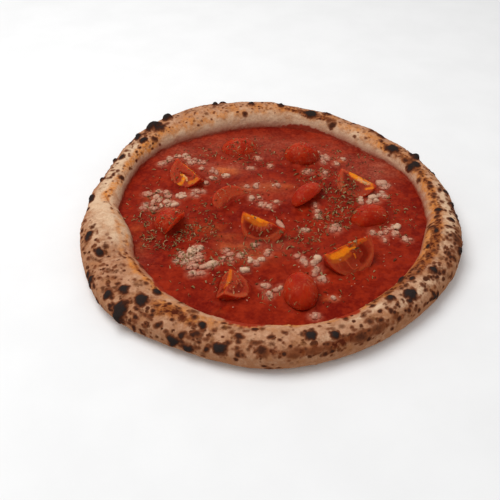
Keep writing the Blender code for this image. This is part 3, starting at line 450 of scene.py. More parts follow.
class TomatoSettings(bpy.types.PropertyGroup):
    """Colours of the cut tomatoes."""

    skin: colour("Skin", "Tomato skin", (0.30, 0.012, 0.0035))
    ripe: colour("Ripe skin", "Skin where it is more orange", (0.38, 0.024, 0.005))
    # Painted sheen: a pinkish highlight laid on the skin.
    painted_sheen: colour("Veil", "Pinkish bloom on the skin", (0.43, 0.105, 0.048))
    flesh: colour("Flesh", "Cut flesh", (0.30, 0.030, 0.011))
    rim: colour("Outer wall", "Cut edge of the outer wall", (0.42, 0.068, 0.021))
    gel: colour("Gel", "Gel in the seed chambers", (0.20, 0.010, 0.003))
    core: colour("Core", "Yellow core", (0.80, 0.24, 0.008))
    pale: colour("Pale core", "Cream-coloured flesh beside the core", (0.70, 0.36, 0.14))
    seed: colour("Seeds", "Seeds in their gel", (0.42, 0.11, 0.050))
    # Painted light: how much brighter cut flesh is made where it lies in shade.
    glow: bpy.props.FloatVectorProperty(
        name="Glow", description="How much brighter flesh is where light comes through it",
        default=(2.3, 2.0, 1.6), size=3, min=1.0, max=2.4, subtype="COLOR")


class ToppingSettings(bpy.types.PropertyGroup):
    """Sizes and colours of the garlic and the oregano."""

    garlic_bit: length("Garlic bit", "Mean length of a chopped bit", 5.0 * MM)
    garlic: colour("Garlic", "Garlic that has taken up sauce", (0.39, 0.130, 0.082))
    pale_garlic: colour("Pale garlic", "Garlic that has stayed white", (0.60, 0.390, 0.258))
    wet_garlic: colour("Wet garlic", "Garlic down in the sauce", (0.42, 0.075, 0.040))
    flake: length("Oregano flake", "Mean length of a flake", 2.6 * MM)
    leaf: colour("Oregano", "Dried leaf", (0.36, 0.225, 0.090))
    dark_leaf: colour("Dark oregano", "Darkest leaf", (0.11, 0.048, 0.018))
    stalk: colour("Stalk", "Pale stalks and leaf undersides", (0.60, 0.44, 0.23))


class StageSettings(bpy.types.PropertyGroup):
    """The floor, the lights and the camera."""

    floor: colour("Floor", "Pale floor", (0.86, 0.86, 0.86))
    lens: bpy.props.FloatProperty(name="Lens", description="Focal length in millimetres",
                                  default=48.6, min=10.0)
    key: bpy.props.FloatProperty(name="Window light", description="Power of the large soft light",
                                 default=9.6, unit="POWER")
    fill: bpy.props.FloatProperty(name="Room light", description="Strength of the room's light",
                                  default=0.57)


# ---------------------------------------------------------------- numbers and noise

def perlin(points, size):
    """Smooth noise from -1 to 1 at each point, changing over a distance of that size."""
    return np.array([noise.noise(place) for place in (points / size).tolist()])


def rough(points, size, octaves=3):
    """Noise with finer noise on it."""
    total = sum(perlin(points + 7.1 * k, size / 2 ** k) / 2 ** k for k in range(octaves))
    return total / (2 - 0.5 ** (octaves - 1))


def smooth(value, low, high):
    """0 below low, 1 above high and an even curve between them."""
    share = np.clip((value - low) / (high - low), 0, 1)
    return share * share * (3 - 2 * share)


def turned(bearing):
    """Unit vectors on the level, pointing along bearings."""
    angle = np.radians(bearing)
    return np.stack((np.cos(angle), np.sin(angle), np.zeros_like(angle)), -1)


def off_bearing(bearing, centre):
    """Degrees from a centre to bearings, from -180 to 180."""
    return (bearing - centre + 180) % 360 - 180


def off_step(x, y, step):
    """Distance of places on a plane from a straight step that starts at 0, 0."""
    share = np.clip((x * step[0] + y * step[1]) / (step @ step), 0, 1)
    return np.hypot(x - share * step[0], y - share * step[1])


def unit(vectors):
    return vectors / np.linalg.norm(vectors, axis=-1, keepdims=True)


def sample_round(values, bearing):
    """Smooth curve through values spaced evenly round the ring, at bearings in degrees."""
    values = np.asarray(values, float)
    count = len(values)
    place = (bearing / 360 % 1) * count
    index = np.floor(place).astype(int)
    t = place - index
    before, here, after, beyond = (values[(index + k) % count] for k in (-1, 0, 1, 2))
    slope_here = (after - before) / 2
    slope_after = (beyond - here) / 2
    rise = after - here
    bend = 3 * rise - 2 * slope_here - slope_after
    twist = slope_here + slope_after - 2 * rise
    return here + slope_here * t + bend * t * t + twist * t ** 3


# ---------------------------------------------------------------- meshes

def add_object(name, data):
    """A new object, linked to the scene."""
    item = bpy.data.objects.new(name, data)
    bpy.context.scene.collection.objects.link(item)
    return item


def make_piece(name, points, faces, material):
    """A smooth mesh object from points in the ring's own frame."""
    mesh = bpy.data.meshes.new(name)
    mesh.from_pydata((points + RING_MIDDLE).tolist(), [], faces)
    mesh.shade_smooth()
    mesh.materials.append(material)
    return add_object(name, mesh)


def paint(piece, name, *channels):
    """Store up to three values for each vertex as a colour attribute."""
    mesh = piece.data
    layer = mesh.attributes.new(name, "FLOAT_COLOR", "POINT")
    values = np.zeros((len(mesh.vertices), 4), np.float32)
    values[:, 3] = 1
    for k, channel in enumerate(channels):
        values[:, k] = channel
    layer.data.foreach_set("color", values.ravel())


def hand_over(piece, slot, *nodes):
    """Put a finished piece in the place of packed solids."""
    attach(piece, "root")
    if nodes:
        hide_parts(*nodes)


def grid_normals(points):
    """Outward normals of a grid that closes on itself along its first axis."""
    along = np.roll(points, -1, 0) - np.roll(points, 1, 0)
    across = np.gradient(points, axis=1)
    return unit(np.cross(along, across))


# ---------------------------------------------------------------- nodes and materials

def feed(tree, socket, value):
    """Link a socket to another, or set its own value."""
    if isinstance(value, bpy.types.NodeSocket):
        tree.links.new(value, socket)
    elif socket.type == "RGBA":
        socket.default_value = (*value, 1.0)
    else:
        socket.default_value = value


def put(tree, kind, inputs=None, **settings):
    """Add a node, a shader node unless its full name is given, with its properties and inputs."""
    node = tree.nodes.new(kind if "Node" in kind else f"ShaderNode{kind}")
    for name, value in settings.items():
        setattr(node, name, value)
    for name, value in (inputs or {}).items():
        feed(tree, node.inputs[name], value)
    return node


def blend(tree, share, below, above, how="MIX"):
    """Mix two colours by a share."""
    node = put(tree, "Mix", {0: share, 6: below, 7: above}, data_type="RGBA", blend_type=how)
    return node.outputs[2]


def calc(tree, operation, first, second=0.0, third=0.0):
    """The result of a Math node."""
    node = put(tree, "Math", {0: first, 1: second, 2: third}, operation=operation)
    return node.outputs[0]


def times(tree, first, second):
    return calc(tree, "MULTIPLY", first, second)


def between(tree, value, low, high, bottom=0.0, top=1.0):
    """Even curve from bottom to top as the value goes from low to high."""
    node = put(tree, "MapRange", {"Value": value, "From Min": low, "From Max": high,
                                  "To Min": bottom, "To Max": top},
               interpolation_type="SMOOTHSTEP")
    return node.outputs["Result"]


def broken(tree, mask, pattern, beside, inside=1.0):
    """A mask that a pattern breaks up: its shares beside the pattern's patches and inside them."""
    return times(tree, mask, between(tree, pattern, 0.0, 1.0, beside, inside))


def channels(tree, name):
    """The three values of a painted attribute."""
    layer = put(tree, "Attribute", attribute_name=name)
    split = put(tree, "SeparateColor", {"Color": layer.outputs["Color"]})
    return split.outputs["Red"], split.outputs["Green"], split.outputs["Blue"]


def new_group(name, inputs, outputs, family="Shader"):
    """A node group with named sockets: inputs are (name, kind, default), outputs (name, kind)."""
    group = bpy.data.node_groups.new(name, f"{family}NodeTree")
    for way, rows in (("INPUT", inputs), ("OUTPUT", outputs)):
        for label, kind, *default in rows:
            socket = group.interface.new_socket(name=label, in_out=way,
                                                socket_type=f"NodeSocket{kind}")
            if default:
                socket.default_value = default[0]
    return group, group.nodes.new("NodeGroupInput").outputs, group.nodes.new("NodeGroupOutput")


SPECK_BEND = 2.0 * MM         # how far specks are bent out of round
SPECK_BEND_SIZE = 2.0 * MM    # over what distance the bend changes
SPECKS_LEFT_OUT = 0.35        # share of the cells that hold no speck


def mottle_group():
    """Soft patches: a mask that is 1 in the patches and 0 between them."""
    group, given, result = new_group(
        "Mottle",
        (("Point", "Vector"), ("Size", "Float", 0.005), ("Low", "Float", 0.45),
         ("High", "Float", 0.6)),
        (("Mask", "Float"),))
    scale = calc(group, "DIVIDE", 1.0, given["Size"])
    cloud = put(group, "TexNoise", {"Vector": given["Point"], "Scale": scale, "Detail": 3.0})
    mask = between(group, cloud.outputs[0], given["Low"], given["High"])
    group.links.new(mask, result.inputs["Mask"])
    return group


def specks_group():
    """Scattered soft dots of uneven size: a mask that is 1 on the dots."""
    group, given, result = new_group(
        "Specks",
        (("Point", "Vector"), ("Spacing", "Float", 0.004), ("Size", "Float", 0.001),
         ("Edge", "Float", 0.0004)),
        (("Mask", "Float"),))
    wander = put(group, "TexNoise", {"Vector": given["Point"], "Scale": 1 / SPECK_BEND_SIZE})
    shift = put(group, "VectorMath", {0: wander.outputs["Color"], "Scale": SPECK_BEND},
                operation="SCALE").outputs[0]
    place = put(group, "VectorMath", {0: given["Point"], 1: shift}, operation="ADD").outputs[0]
    scale = calc(group, "DIVIDE", 1.0, given["Spacing"])
    cells = put(group, "TexVoronoi", {"Vector": place, "Scale": scale})
    away = times(group, cells.outputs["Distance"], given["Spacing"])
    chance = put(group, "SeparateColor", {"Color": cells.outputs["Color"]}).outputs["Red"]
    reach = times(group, given["Size"], between(group, chance, SPECKS_LEFT_OUT, 1.0))
    inside = calc(group, "SUBTRACT", reach, away)
    mask = between(group, inside, 0.0, given["Edge"])
    group.links.new(mask, result.inputs["Mask"])
    return group


def grain_group():
    """Fine unevenness, as a height from 0 to 1."""
    group, given, result = new_group(
        "Grain", (("Point", "Vector"), ("Size", "Float", 0.002)), (("Height", "Float"),))
    scale = calc(group, "DIVIDE", 1.0, given["Size"])
    coarse = put(group, "TexNoise", {"Vector": given["Point"], "Scale": scale, "Detail": 4.0,
                                     "Roughness": 0.6})
    group.links.new(coarse.outputs[0], result.inputs["Height"])
    return group


SHARED = {"Mottle": mottle_group, "Specks": specks_group, "Grain": grain_group}


def effect(tree, name, point, **values):
    """Place one of the shared groups and return its output."""
    group = bpy.data.node_groups.get(name) or SHARED[name]()
    node = tree.nodes.new("ShaderNodeGroup")
    node.node_tree = group
    feed(tree, node.inputs["Point"], point)
    for label, value in values.items():
        feed(tree, node.inputs[label], value)
    return node.outputs[0]


def mottle(tree, point, size, low, high):
    """Soft patches: where the noise is over high they are full, and under low there are none."""
    return effect(tree, "Mottle", point, Size=size, Low=low, High=high)


def grain_of(tree, point, size):
    return effect(tree, "Grain", point, Size=size)


def soften(shader, weight, radius, scale):
    """Let light through the surface: its share, its reach for each colour and the unit for that."""
    shader.inputs["Subsurface Weight"].default_value = weight
    shader.inputs["Subsurface Radius"].default_value = radius
    shader.inputs["Subsurface Scale"].default_value = scale


def new_material(name, roughness, specular=0.5, gloss_tint=(1, 1, 1)):
    """A material with its shader, and the place on the piece to hang patterns on."""
    material = bpy.data.materials.new(name)
    material.use_nodes = True
    tree = material.node_tree
    shader = tree.nodes["Principled BSDF"]
    shader.inputs["Roughness"].default_value = roughness
    shader.inputs["Specular IOR Level"].default_value = specular
    shader.inputs["Specular Tint"].default_value = (*gloss_tint, 1)
    point = put(tree, "TexCoord").outputs["Object"]
    return material, tree, shader, point


def finish_surface(tree, shader, colour_out, height, depth):
    """Give the shader its colour and its fine relief."""
    bump = put(tree, "Bump", {"Height": height, "Distance": depth, "Strength": 1.0})
    tree.links.new(colour_out, shader.inputs["Base Color"])
    tree.links.new(bump.outputs["Normal"], shader.inputs["Normal"])


# ---------------------------------------------------------------- the crust

CRUST_COLUMNS = 1150          # round the ring
CRUST_ROWS = 72               # across it, from the underside to the foot beside the sauce
ALONG_DEGREE = math.radians(1) * 135 * MM    # distance along the ring for a degree of bearing
ACROSS_DEGREE = 0.23 * MM     # distance across it for a degree over
BUMP_RAGGED = 0.16            # how uneven the outline of a blister is, as a share of its size
MARK_RAGGED = 0.42            # the same for a scorch mark
SCORCH_RISE = 0.08            # how far a black mark stands up, as a share of its length
LEAST_RADIUS = 0.13           # about the least radius of the ring's middle
MARK_FADE = 1.6               # where a scorch mark ends, in its own half sizes
CHARRED = 0.8                 # marks this dark have a charred, crackled middle
FAR_SCORCHES = 150            # marks drawn at random on the far side
# Small brown marks drawn at random: how many, bearings from and to, over and its spread, widths
# from and to in millimetres, and darkness from and to.
SMALL_SCORCHES = (
    (420, 203, 372, 58, 34, 1.2, 3.6, 0.40, 0.88),
    (240, 12, 150, 88, 18, 0.9, 2.2, 0.45, 0.8),
)
PIMPLES = 420                 # small bubbles all round
INNER_SIDE = 120              # from how far over the ring sauce can stain it
STAIN_ENDS = (9.0 * MM, 12.0 * MM)    # heights between which the stain fades out
BLUSH_ENDS = (10.5 * MM, 17.5 * MM)   # the same for the fainter red above it
BLUSH = 0.55                  # how strong that fainter red is


def ring_sizes(bearing):
    """Outer radius, sauce-edge radius and crest height at bearings."""
    outer, edge, crest = (sample_round(column, bearing) * MM for column in zip(*RING_STATIONS))
    for centre, spread, rise in SWELLINGS:
        away = off_bearing(bearing, centre)
        swelling = rise * MM * np.exp(-(away / spread) ** 2)
        crest = crest + swelling
        edge = edge - SWELLING_INWARD * swelling
    return outer, edge, crest


def wall_radius(bearing, height):
    """Radius of the steep foot of the ring's inner wall at a height."""
    edge = ring_sizes(bearing)[1]
    return edge + WALL_LEAN * (height - SAUCE_TOP) / (SAUCE_TOP - BASE_TOP)


def power(value, exponent=FULLNESS):
    return np.copysign(np.abs(value) ** exponent, value)


def ring_surface(bearing, over, lump_depth):
    """Points on the ring at bearings and degrees over it, with lumps that fade out low down."""
    bearing, over = np.broadcast_arrays(np.asarray(bearing, float), np.asarray(over, float))
    outer, _, crest = ring_sizes(bearing)
    foot = wall_radius(bearing, WALL_TOP)
    middle = (outer + foot) / 2
    half_width = (outer - foot) / 2
    widest = WIDEST_AT * crest
    across = power(np.cos(np.radians(over)))
    up = power(np.sin(np.radians(over)))
    lowest = power(math.sin(math.radians(UNDERCUT)))
    under = widest * (1 + up / lowest)
    outside = widest + (crest - widest) * up
    inside = WALL_TOP + (crest - WALL_TOP) * up
    height = np.where(over < 0, under, np.where(over <= 90, outside, inside))
    spine = turned(bearing) * middle[..., None]
    spine[..., 2] = over * half_width / 60
    lumps = perlin(spine.reshape(-1, 3), LUMP_SCALE).reshape(bearing.shape)
    fade = np.sin(np.radians(np.clip((over + 30) * 6 / 7, 0, 180))) ** 2
    push = lump_depth * half_width * lumps * fade * 2
    points = turned(bearing) * (middle + across * (half_width + push))[..., None]
    points[..., 2] = height + push * np.maximum(up, 0)
    return points


def ring_axes(bearing, over, lump_depth):
    """A place on the ring, with its directions along the ring, across it and outwards."""
    here = ring_surface(bearing, over, lump_depth)
    along = unit(ring_surface(bearing + 1, over, lump_depth)
                 - ring_surface(bearing - 1, over, lump_depth))
    across = (ring_surface(bearing, over + 3, lump_depth)
              - ring_surface(bearing, over - 3, lump_depth))
    outward = unit(np.cross(along, across))
    return here, along, np.cross(outward, along), outward


def all_blisters():
    """The blisters that show, and the ones low on the far side."""
    draw = random.Random(SEED)
    places = list(BLISTERS)
    for k in range(BACK_BLISTERS):
        bearing = 10 + 160 * (k + draw.uniform(0.2, 0.8)) / BACK_BLISTERS
        size = draw.uniform(5, 9)
        places.append((bearing, draw.uniform(5, 45), size, size * 0.8, size * 0.25))
    return places


def far_scorches(draw):
    """Scorch marks on the far side, as thick as on the near side."""
    marks = []
    for _ in range(FAR_SCORCHES):
        size = draw.uniform(2, 5) * draw.uniform(1, 1.5)
        marks.append((draw.uniform(-12, 178), draw.gauss(30, 26), size,
                      size * draw.uniform(0.6, 1), draw.choice((0.4, 0.5, 0.6, 1))))
    return marks


def small_scorches(draw):
    """Small brown marks between the placed ones, on the near side and on the crest behind."""
    marks = []
    for count, start, end, over, spread, least, most, weak, strong in SMALL_SCORCHES:
        for _ in range(count):
            size = draw.uniform(least, most)
            marks.append((draw.uniform(start, end), draw.gauss(over, spread),
                          size * draw.uniform(1, 1.7), size, draw.uniform(weak, strong)))
    return marks


def zone(bearing, over, patches):
    """How strongly soft zones cover places on the ring, from 0 to 1."""
    cover = np.zeros(np.broadcast_shapes(bearing.shape, over.shape))
    for centre, level, half_along, half_across, strength in patches:
        away = off_bearing(bearing, centre)
        cloud = np.exp(-((away / half_along) ** 2 + ((over - level) / half_across) ** 2))
        cover = 1 - (1 - cover) * (1 - strength * cloud)
    return cover


class CrustShape:
    """The ring's fine grid while blisters, creases and marks are worked into it."""

    def __init__(self, lump_depth):
        self.lump_depth = lump_depth
        self.bearing = np.arange(CRUST_COLUMNS)[:, None] * 360 / CRUST_COLUMNS
        self.over = np.linspace(-UNDERCUT, 180, CRUST_ROWS)[None, :]
        self.points = ring_surface(self.bearing, self.over, self.lump_depth)
        self.normals = grid_normals(self.points)
        flat = self.points.reshape(-1, 3)
        shape = (CRUST_COLUMNS, CRUST_ROWS)
        self.ragged = (perlin(flat, 0.0042) + 0.7 * perlin(flat + 1, 0.0018)).reshape(shape)
        self.burn = np.zeros(shape)
        self.char = np.zeros(shape)

    def near(self, bearing, reach):
        """Indices of the columns within a reach of a bearing, in metres along the ring."""
        half = int(math.degrees(reach / LEAST_RADIUS) * CRUST_COLUMNS / 360) + 2
        middle = round(bearing % 360 / 360 * CRUST_COLUMNS)
        return np.arange(middle - half, middle + half + 1) % CRUST_COLUMNS

    def mark(self, bearing, over, size, width, darkness, rise=0.0):
        """Scorch a spot, and raise it as a partly sunk round bump if it has a rise."""
        size, width, rise = size * MM, width * MM, rise * MM
        columns = self.near(bearing, 2.5 * max(size, width))
        here, along, across, outward = ring_axes(bearing, over, self.lump_depth)
        offset = self.points[columns] - here
        out = offset @ outward
        away = np.hypot(offset @ along / (size / 2), offset @ across / (width / 2))
        close = (self.normals[columns] @ outward > 0.2) & (np.abs(out) < 2 * max(size, width))
        if rise:
            half_height = rise / (1 - BLISTER_SINK)
            ragged = away * (1 + BUMP_RAGGED * self.ragged[columns])
            cap = half_height * (np.sqrt(np.clip(1 - ragged ** 2, 0, 1)) - BLISTER_SINK)
            lift = np.where(close & (ragged < 1), np.maximum(cap - out, 0), 0)
            self.points[columns] += lift[..., None] * outward
        ragged = away + MARK_RAGGED * self.ragged[columns]
        halo = darkness * (1 - smooth(ragged, 1.1 * darkness - 0.6, MARK_FADE))
        halo = np.where(close, halo, 0)
        self.burn[columns] = np.maximum(self.burn[columns], halo)
        if darkness >= CHARRED:
            core = np.where(close, 1 - smooth(away, 0.7, 1.1), 0)
            self.char[columns] = np.maximum(self.char[columns], core)

    def crease(self, half_width, depth, darkness, *line):
        """Press a line into the dough."""
        nearest = np.full(self.burn.shape, 1.0)
        for (start, start_over), (end, end_over) in zip(line, line[1:]):
            step = np.array(((end - start) * ALONG_DEGREE, (end_over - start_over) * ACROSS_DEGREE))
            x = off_bearing(self.bearing, start) * ALONG_DEGREE
            y = (self.over - start_over) * ACROSS_DEGREE
            nearest = np.minimum(nearest, off_step(x, y, step))
        wander = nearest + 0.35 * MM * self.ragged
        groove = np.exp(-(wander / (half_width * MM)) ** 2)
        self.points -= self.normals * (depth * MM * groove)[..., None]
        self.burn = np.maximum(self.burn, darkness * groove)

    def roughen(self, wrinkle):
        """Fine unevenness, which dies out at the underside and at the foot."""
        flat = self.points.reshape(-1, 3)
        stretched = flat.copy()
        stretched[:, 2] *= 1.6
        swell = rough(stretched, 0.0085).reshape(self.burn.shape)
        fine = perlin(flat + 3, 0.0021).reshape(self.burn.shape)
        crackle = np.abs(perlin(flat + 5, 0.0013)).reshape(self.burn.shape)
        ring = turned(self.bearing + 0 * self.over) * 0.035
        ring[..., 2] = self.over * ACROSS_DEGREE
        folds = perlin(ring.reshape(-1, 3), 0.0024).reshape(self.burn.shape)
        folds = folds * zone(self.bearing, self.over, WRINKLED)
        fade = smooth(self.over, -UNDERCUT, -UNDERCUT + 25) * (1 - smooth(self.over, 168, 180))
        lift = wrinkle * (1.5 * swell + 0.35 * fine + 1.3 * folds) * fade
        lift = lift + self.char * fade * (0.6 * crackle - 0.1) * MM
        self.points += self.normals * lift[..., None]


def pimples(shape, draw):
    """Raise small bubbles in the dough."""
    for _ in range(PIMPLES):
        bearing, over = draw.uniform(0, 360), draw.gauss(65, 40)
        if -30 < over < 150:
            size = draw.uniform(1.4, 3.2)
            shape.mark(bearing, over, size * 1.2, size, 0.0, size * 0.14)


def crust_material(look):
    """Baked dough: flour, freckles, golden toast, burnt spots and the sauce's stain, with painted
    shade low on the ring's outer side and painted light on the foot of the far inner wall.
    """
    material, tree, shader, point = new_material("baked_dough", 0.85, 0.02)
    burn, toast, flour_and_painted_light = channels(tree, "bake")
    # The third value of the marks is painted shade low on the ring's outer side.
    mottled, stain, low = channels(tree, "marks")
    crisped = channels(tree, "edges")[0]
    cloud = mottle(tree, point, 0.021, 0.38, 0.66)
    patch = mottle(tree, point, 0.0075, 0.34, 0.68)
    fleck = mottle(tree, point, 0.0024, 0.38, 0.68)
    base = blend(tree, times(tree, cloud, 0.6), look.dough, look.pale)
    base = blend(tree, times(tree, patch, 0.5), base, look.tan)
    base = blend(tree, times(tree, fleck, 0.35), base, look.tan)
    # Painted shade, with browner dough: the ring darker and browner low on its outer side.
    base = blend(tree, times(tree, low, 0.6), base, look.tan)
    # Flour lies in soft grains; on the foot of the far inner wall the same colour is painted light.
    grains = mottle(tree, point, 0.0012, 0.35, 0.6)
    dusted = calc(tree, "MULTIPLY_ADD", grains, 0.25, flour_and_painted_light)
    dusted = calc(tree, "MULTIPLY_ADD", patch, -0.22, dusted)
    dusted = calc(tree, "MULTIPLY_ADD", fleck, -0.16, dusted)
    cover = between(tree, dusted, -0.05, 0.90)
    base = blend(tree, cover, base, look.flour_and_painted_light)
    # Brown freckles of two sizes, over soft brown clouds.
    smudge = mottle(tree, point, 0.0060, 0.44, 0.72)
    large = effect(tree, "Specks", point, Spacing=0.0062, Size=0.0040, Edge=0.0030)
    small = effect(tree, "Specks", point, Spacing=0.0037, Size=0.0026, Edge=0.0018)
    spots = calc(tree, "MAXIMUM", times(tree, smudge, 0.60), large)
    spots = calc(tree, "MAXIMUM", times(tree, small, 0.95), spots)
    freckled = times(tree, spots, mottled)
    base = blend(tree, between(tree, freckled, 0.0, 0.5, 0.0, 0.65), base, look.tan)
    base = blend(tree, between(tree, freckled, 0.06, 0.66), base, look.mottle)
    # Golden toast, darker in patches, with red-brown specks.
    gold = blend(tree, mottle(tree, point, 0.0045, 0.46, 0.84),
                 look.toast, look.caramel)
    uneven = calc(tree, "MULTIPLY_ADD", patch, 0.40, toast)
    toasted = between(tree, uneven, 0.20, 1.15)
    thready = mottle(tree, point, 0.0019, 0.38, 0.60)
    toasted = broken(tree, toasted, thready, 0.60, 0.98)
    base = blend(tree, toasted, base, gold)
    base = blend(tree, times(tree, crisped, 0.62), base, look.caramel)
    dots = effect(tree, "Specks", point, Spacing=0.0030, Size=0.0021, Edge=0.0011)
    dots = times(tree, dots, between(tree, toast, 0.10, 0.7, 0.0, 0.7))
    crust_edge = mottle(tree, point, 0.0036, 0.43, 0.60)
    crust_edge = broken(tree, crisped, crust_edge, 0.22)
    base = blend(tree, calc(tree, "MAXIMUM", dots, crust_edge), base, look.crisp)
    # Burnt spots: singed dough, then brown, then a black middle.
    jitter = grain_of(tree, point, 0.0022)
    ragged = calc(tree, "MULTIPLY_ADD", calc(tree, "SUBTRACT", jitter, 0.5), 0.30, burn)
    burnt = times(tree, ragged, between(tree, burn, 0.02, 0.15))
    base = blend(tree, between(tree, burnt, 0.02, 0.42, 0.0, 0.90), base, look.singed)
    base = blend(tree, between(tree, burnt, 0.32, 0.76, 0.0, 0.95), base, look.brown)
    base = blend(tree, between(tree, burnt, 0.74, 0.98), base, look.black)
    # Sauce that has run up the foot.
    base = blend(tree, times(tree, stain, 0.95), base, look.stain)
    # A floury grain over all of it.
    grain = grain_of(tree, point, 0.0013)
    grey = between(tree, grain, 0.3, 0.7, 0.90, 1.06)
    tint = put(tree, "CombineColor", {"Red": grey, "Green": grey, "Blue": grey}).outputs[0]
    base = blend(tree, 1.0, base, tint, "MULTIPLY")
    relief = grain_of(tree, point, 0.0030)
    finish_surface(tree, shader, base, relief, 0.0006)
    return material


def crust_faces(columns, rows):
    """Quads round the ring, the steep foot, and fans over the base and the underside."""
    faces = []
    foot = columns * rows
    under, floor = foot + columns, foot + columns + 1
    for k in range(columns):
        here, after = k * rows, (k + 1) % columns * rows
        for row in range(rows - 1):
            faces.append((here + row, after + row, after + row + 1, here + row + 1))
        foot_here, foot_after = foot + k, foot + (k + 1) % columns
        faces.append((here + rows - 1, after + rows - 1, foot_after, foot_here))
        faces.append((foot_here, foot_after, floor))
        faces.append((under, after, here))
    return faces


def shape_crust(settings):
    """The ring with its blisters, scorch marks, folds and bubbles worked in."""
    draw = random.Random(SEED + 1)
    shape = CrustShape(settings.lump_depth)
    for bearing, over, size, width, rise in all_blisters():
        shape.mark(bearing, over, size, width, 1.0, rise)
    for bearing, over, size, width, darkness in SCORCHES:
        shape.mark(bearing, over, size, width, darkness, SCORCH_RISE * size * darkness)
    for place in far_scorches(draw) + small_scorches(draw):
        shape.mark(*place)
    for crease in CREASES:
        shape.crease(*crease)
    pimples(shape, draw)
    shape.roughen(settings.wrinkle)
    shape.points[:, 0, 2] = 0
    return shape


def sauce_on_crust(shape):
    """How much sauce is on the inside of the ring, in a swaying line and in smears."""
    sway = perlin(turned(shape.bearing[:, 0]) * 0.125, 0.013)[:, None]
    line = shape.points[..., 2] + (0.7 * shape.ragged + 1.4 * sway) * MM
    inside = shape.over > INNER_SIDE
    wet = inside * (1 - smooth(line, *STAIN_ENDS))
    blush = inside * (1 - smooth(line + 1.5 * MM * sway, *BLUSH_ENDS))
    wet = np.maximum(wet, BLUSH * blush * (1 + 0.5 * shape.ragged))
    smears = zone(shape.bearing, shape.over, SMEARS) + 0.22 * shape.ragged
    return np.maximum(wet, smooth(smears, 0.35, 0.6))


def bake_crust(settings):
    """The shaped ring with its foot, the flat dough inside it and its underside."""
    shape = shape_crust(settings)
    bearings = shape.bearing[:, 0]
    foot = turned(bearings) * wall_radius(bearings, BASE_TOP)[:, None]
    foot[:, 2] = BASE_TOP
    points = np.concatenate((shape.points.reshape(-1, 3), foot, ((0, 0, 0), (0, 0, BASE_TOP))))
    piece = make_piece("baked_crust", points, crust_faces(CRUST_COLUMNS, CRUST_ROWS),
                       crust_material(settings))
    # The flour zones also hold painted light on the foot of the far inner wall.
    toasted, flour_and_painted_light_cover, mottled, crisped = (
        zone(shape.bearing, shape.over, patches) for patches in (TOASTED, FLOUR_AND_PAINTED_LIGHT, MOTTLED, CRISPED))
    # Painted shade, with browner dough, low on the ring's outer side.
    low = np.broadcast_to(1 - smooth(shape.over, 0, 95), toasted.shape)
    crisped = smooth(crisped + 0.35 * shape.ragged, 0.30, 0.75)
    spare = np.zeros(CRUST_COLUMNS + 2)
    for name, masks in (("bake", (shape.burn, toasted, flour_and_painted_light_cover)),
                        ("marks", (mottled, sauce_on_crust(shape), low)),
                        ("edges", (crisped,))):
        paint(piece, name, *(np.concatenate((mask.ravel(), spare)) for mask in masks))
    return piece


# ---------------------------------------------------------------- the tomatoes

# A cut edge: how sharp it is, the shares of the cut's pull at which its marks start and are full,
# and the share at which the flesh starts.
SHARP_EDGE = (26, 0.25, 0.75, 0.35)
ROUND_EDGE = (9, 0.10, 0.40, 0.10)
ROUND_EDGED = (4, 6)          # the pieces whose cut edges are round
# What shows on cut faces, and how far it stands out in millimetres. The last kind is painted light on
# cut faces that lie in shade, and does not stand out.
FLESH_RELIEF = {"rim": 0.30, "gel": -0.80, "core": 0.25, "pale": 0.30, "seed": 0.55, "thin": 0.0}
HALF_DETAIL = 6               # subdivisions of the ball of directions
WEDGE_DETAIL = 7              # the same for the pieces whose cut faces show
SINK = 1.2 * MM               # how far a piece reaches down into the sauce


def resting_place(x, y, lift, turn, tilt, axis):
    """Where a piece of tomato lies: its middle, its turn, and its tilt about its own axis."""
    return (Matrix.Translation((x * MM, y * MM, SAUCE_TOP + GAP + lift * MM))
            @ Matrix.Rotation(math.radians(turn), 4, "Z")
            @ Matrix.Rotation(math.radians(tilt), 4, axis))


def half_frame(x, y, lift, length, width, turn, lean):
    """Place, half sizes and the cut's outward direction of a tomato half."""
    place = resting_place(x, y, lift, turn, lean, "X")
    return place, np.array((length, width, width)) * MM / 2, [(0, 0, -1)]


def wedge_frame(x, y, lift, length, radius, near, far, turn, tip):
    """Place, half sizes and the cuts' outward directions of a tomato wedge."""
    near, far = math.radians(near), math.radians(far)
    place = resting_place(x, y, lift, turn, tip, "Y")
    cuts = [(0, -math.sin(near), math.cos(near)), (0, math.sin(far), math.cos(far))]
    return place, np.array((length / 2, radius, radius)) * MM, cuts


def ball_of_directions(detail):
    bm = bmesh.new()
    bmesh.ops.create_icosphere(bm, subdivisions=detail, radius=1.0)
    directions = np.array([vertex.co for vertex in bm.verts])
    faces = [[vertex.index for vertex in face.verts] for face in bm.faces]
    bm.free()
    return unit(directions), faces


def reach_to_skin(start, direction, half_sizes):
    """Distance from a start inside an oval ball to its surface."""
    p, d = start / half_sizes, direction / half_sizes
    a, b, c = (d * d).sum(1), (d * p).sum(1), (p * p).sum() - 1
    return (-b + np.sqrt(b * b - a * c)) / a


def reach_to_plane(start, direction, normal, offset):
    """Distance from a start to a plane ahead of it, or very far."""
    speed = direction @ normal
    ahead = np.maximum(speed, 1e-6)
    return np.where(speed > 1e-6, (offset - start @ normal) / ahead, 1.0)


def stroke(x, y, half_width, line):
    """Mask that is 1 along a line through points and fades out beside it."""
    nearest = np.full(x.shape, 1.0)
    for start, end in zip(line, line[1:]):
        step = np.array(end) - np.array(start)
        nearest = np.minimum(nearest, off_step(x - start[0], y - start[1], step))
    return 1 - smooth(nearest, 0.5 * half_width, 1.5 * half_width)


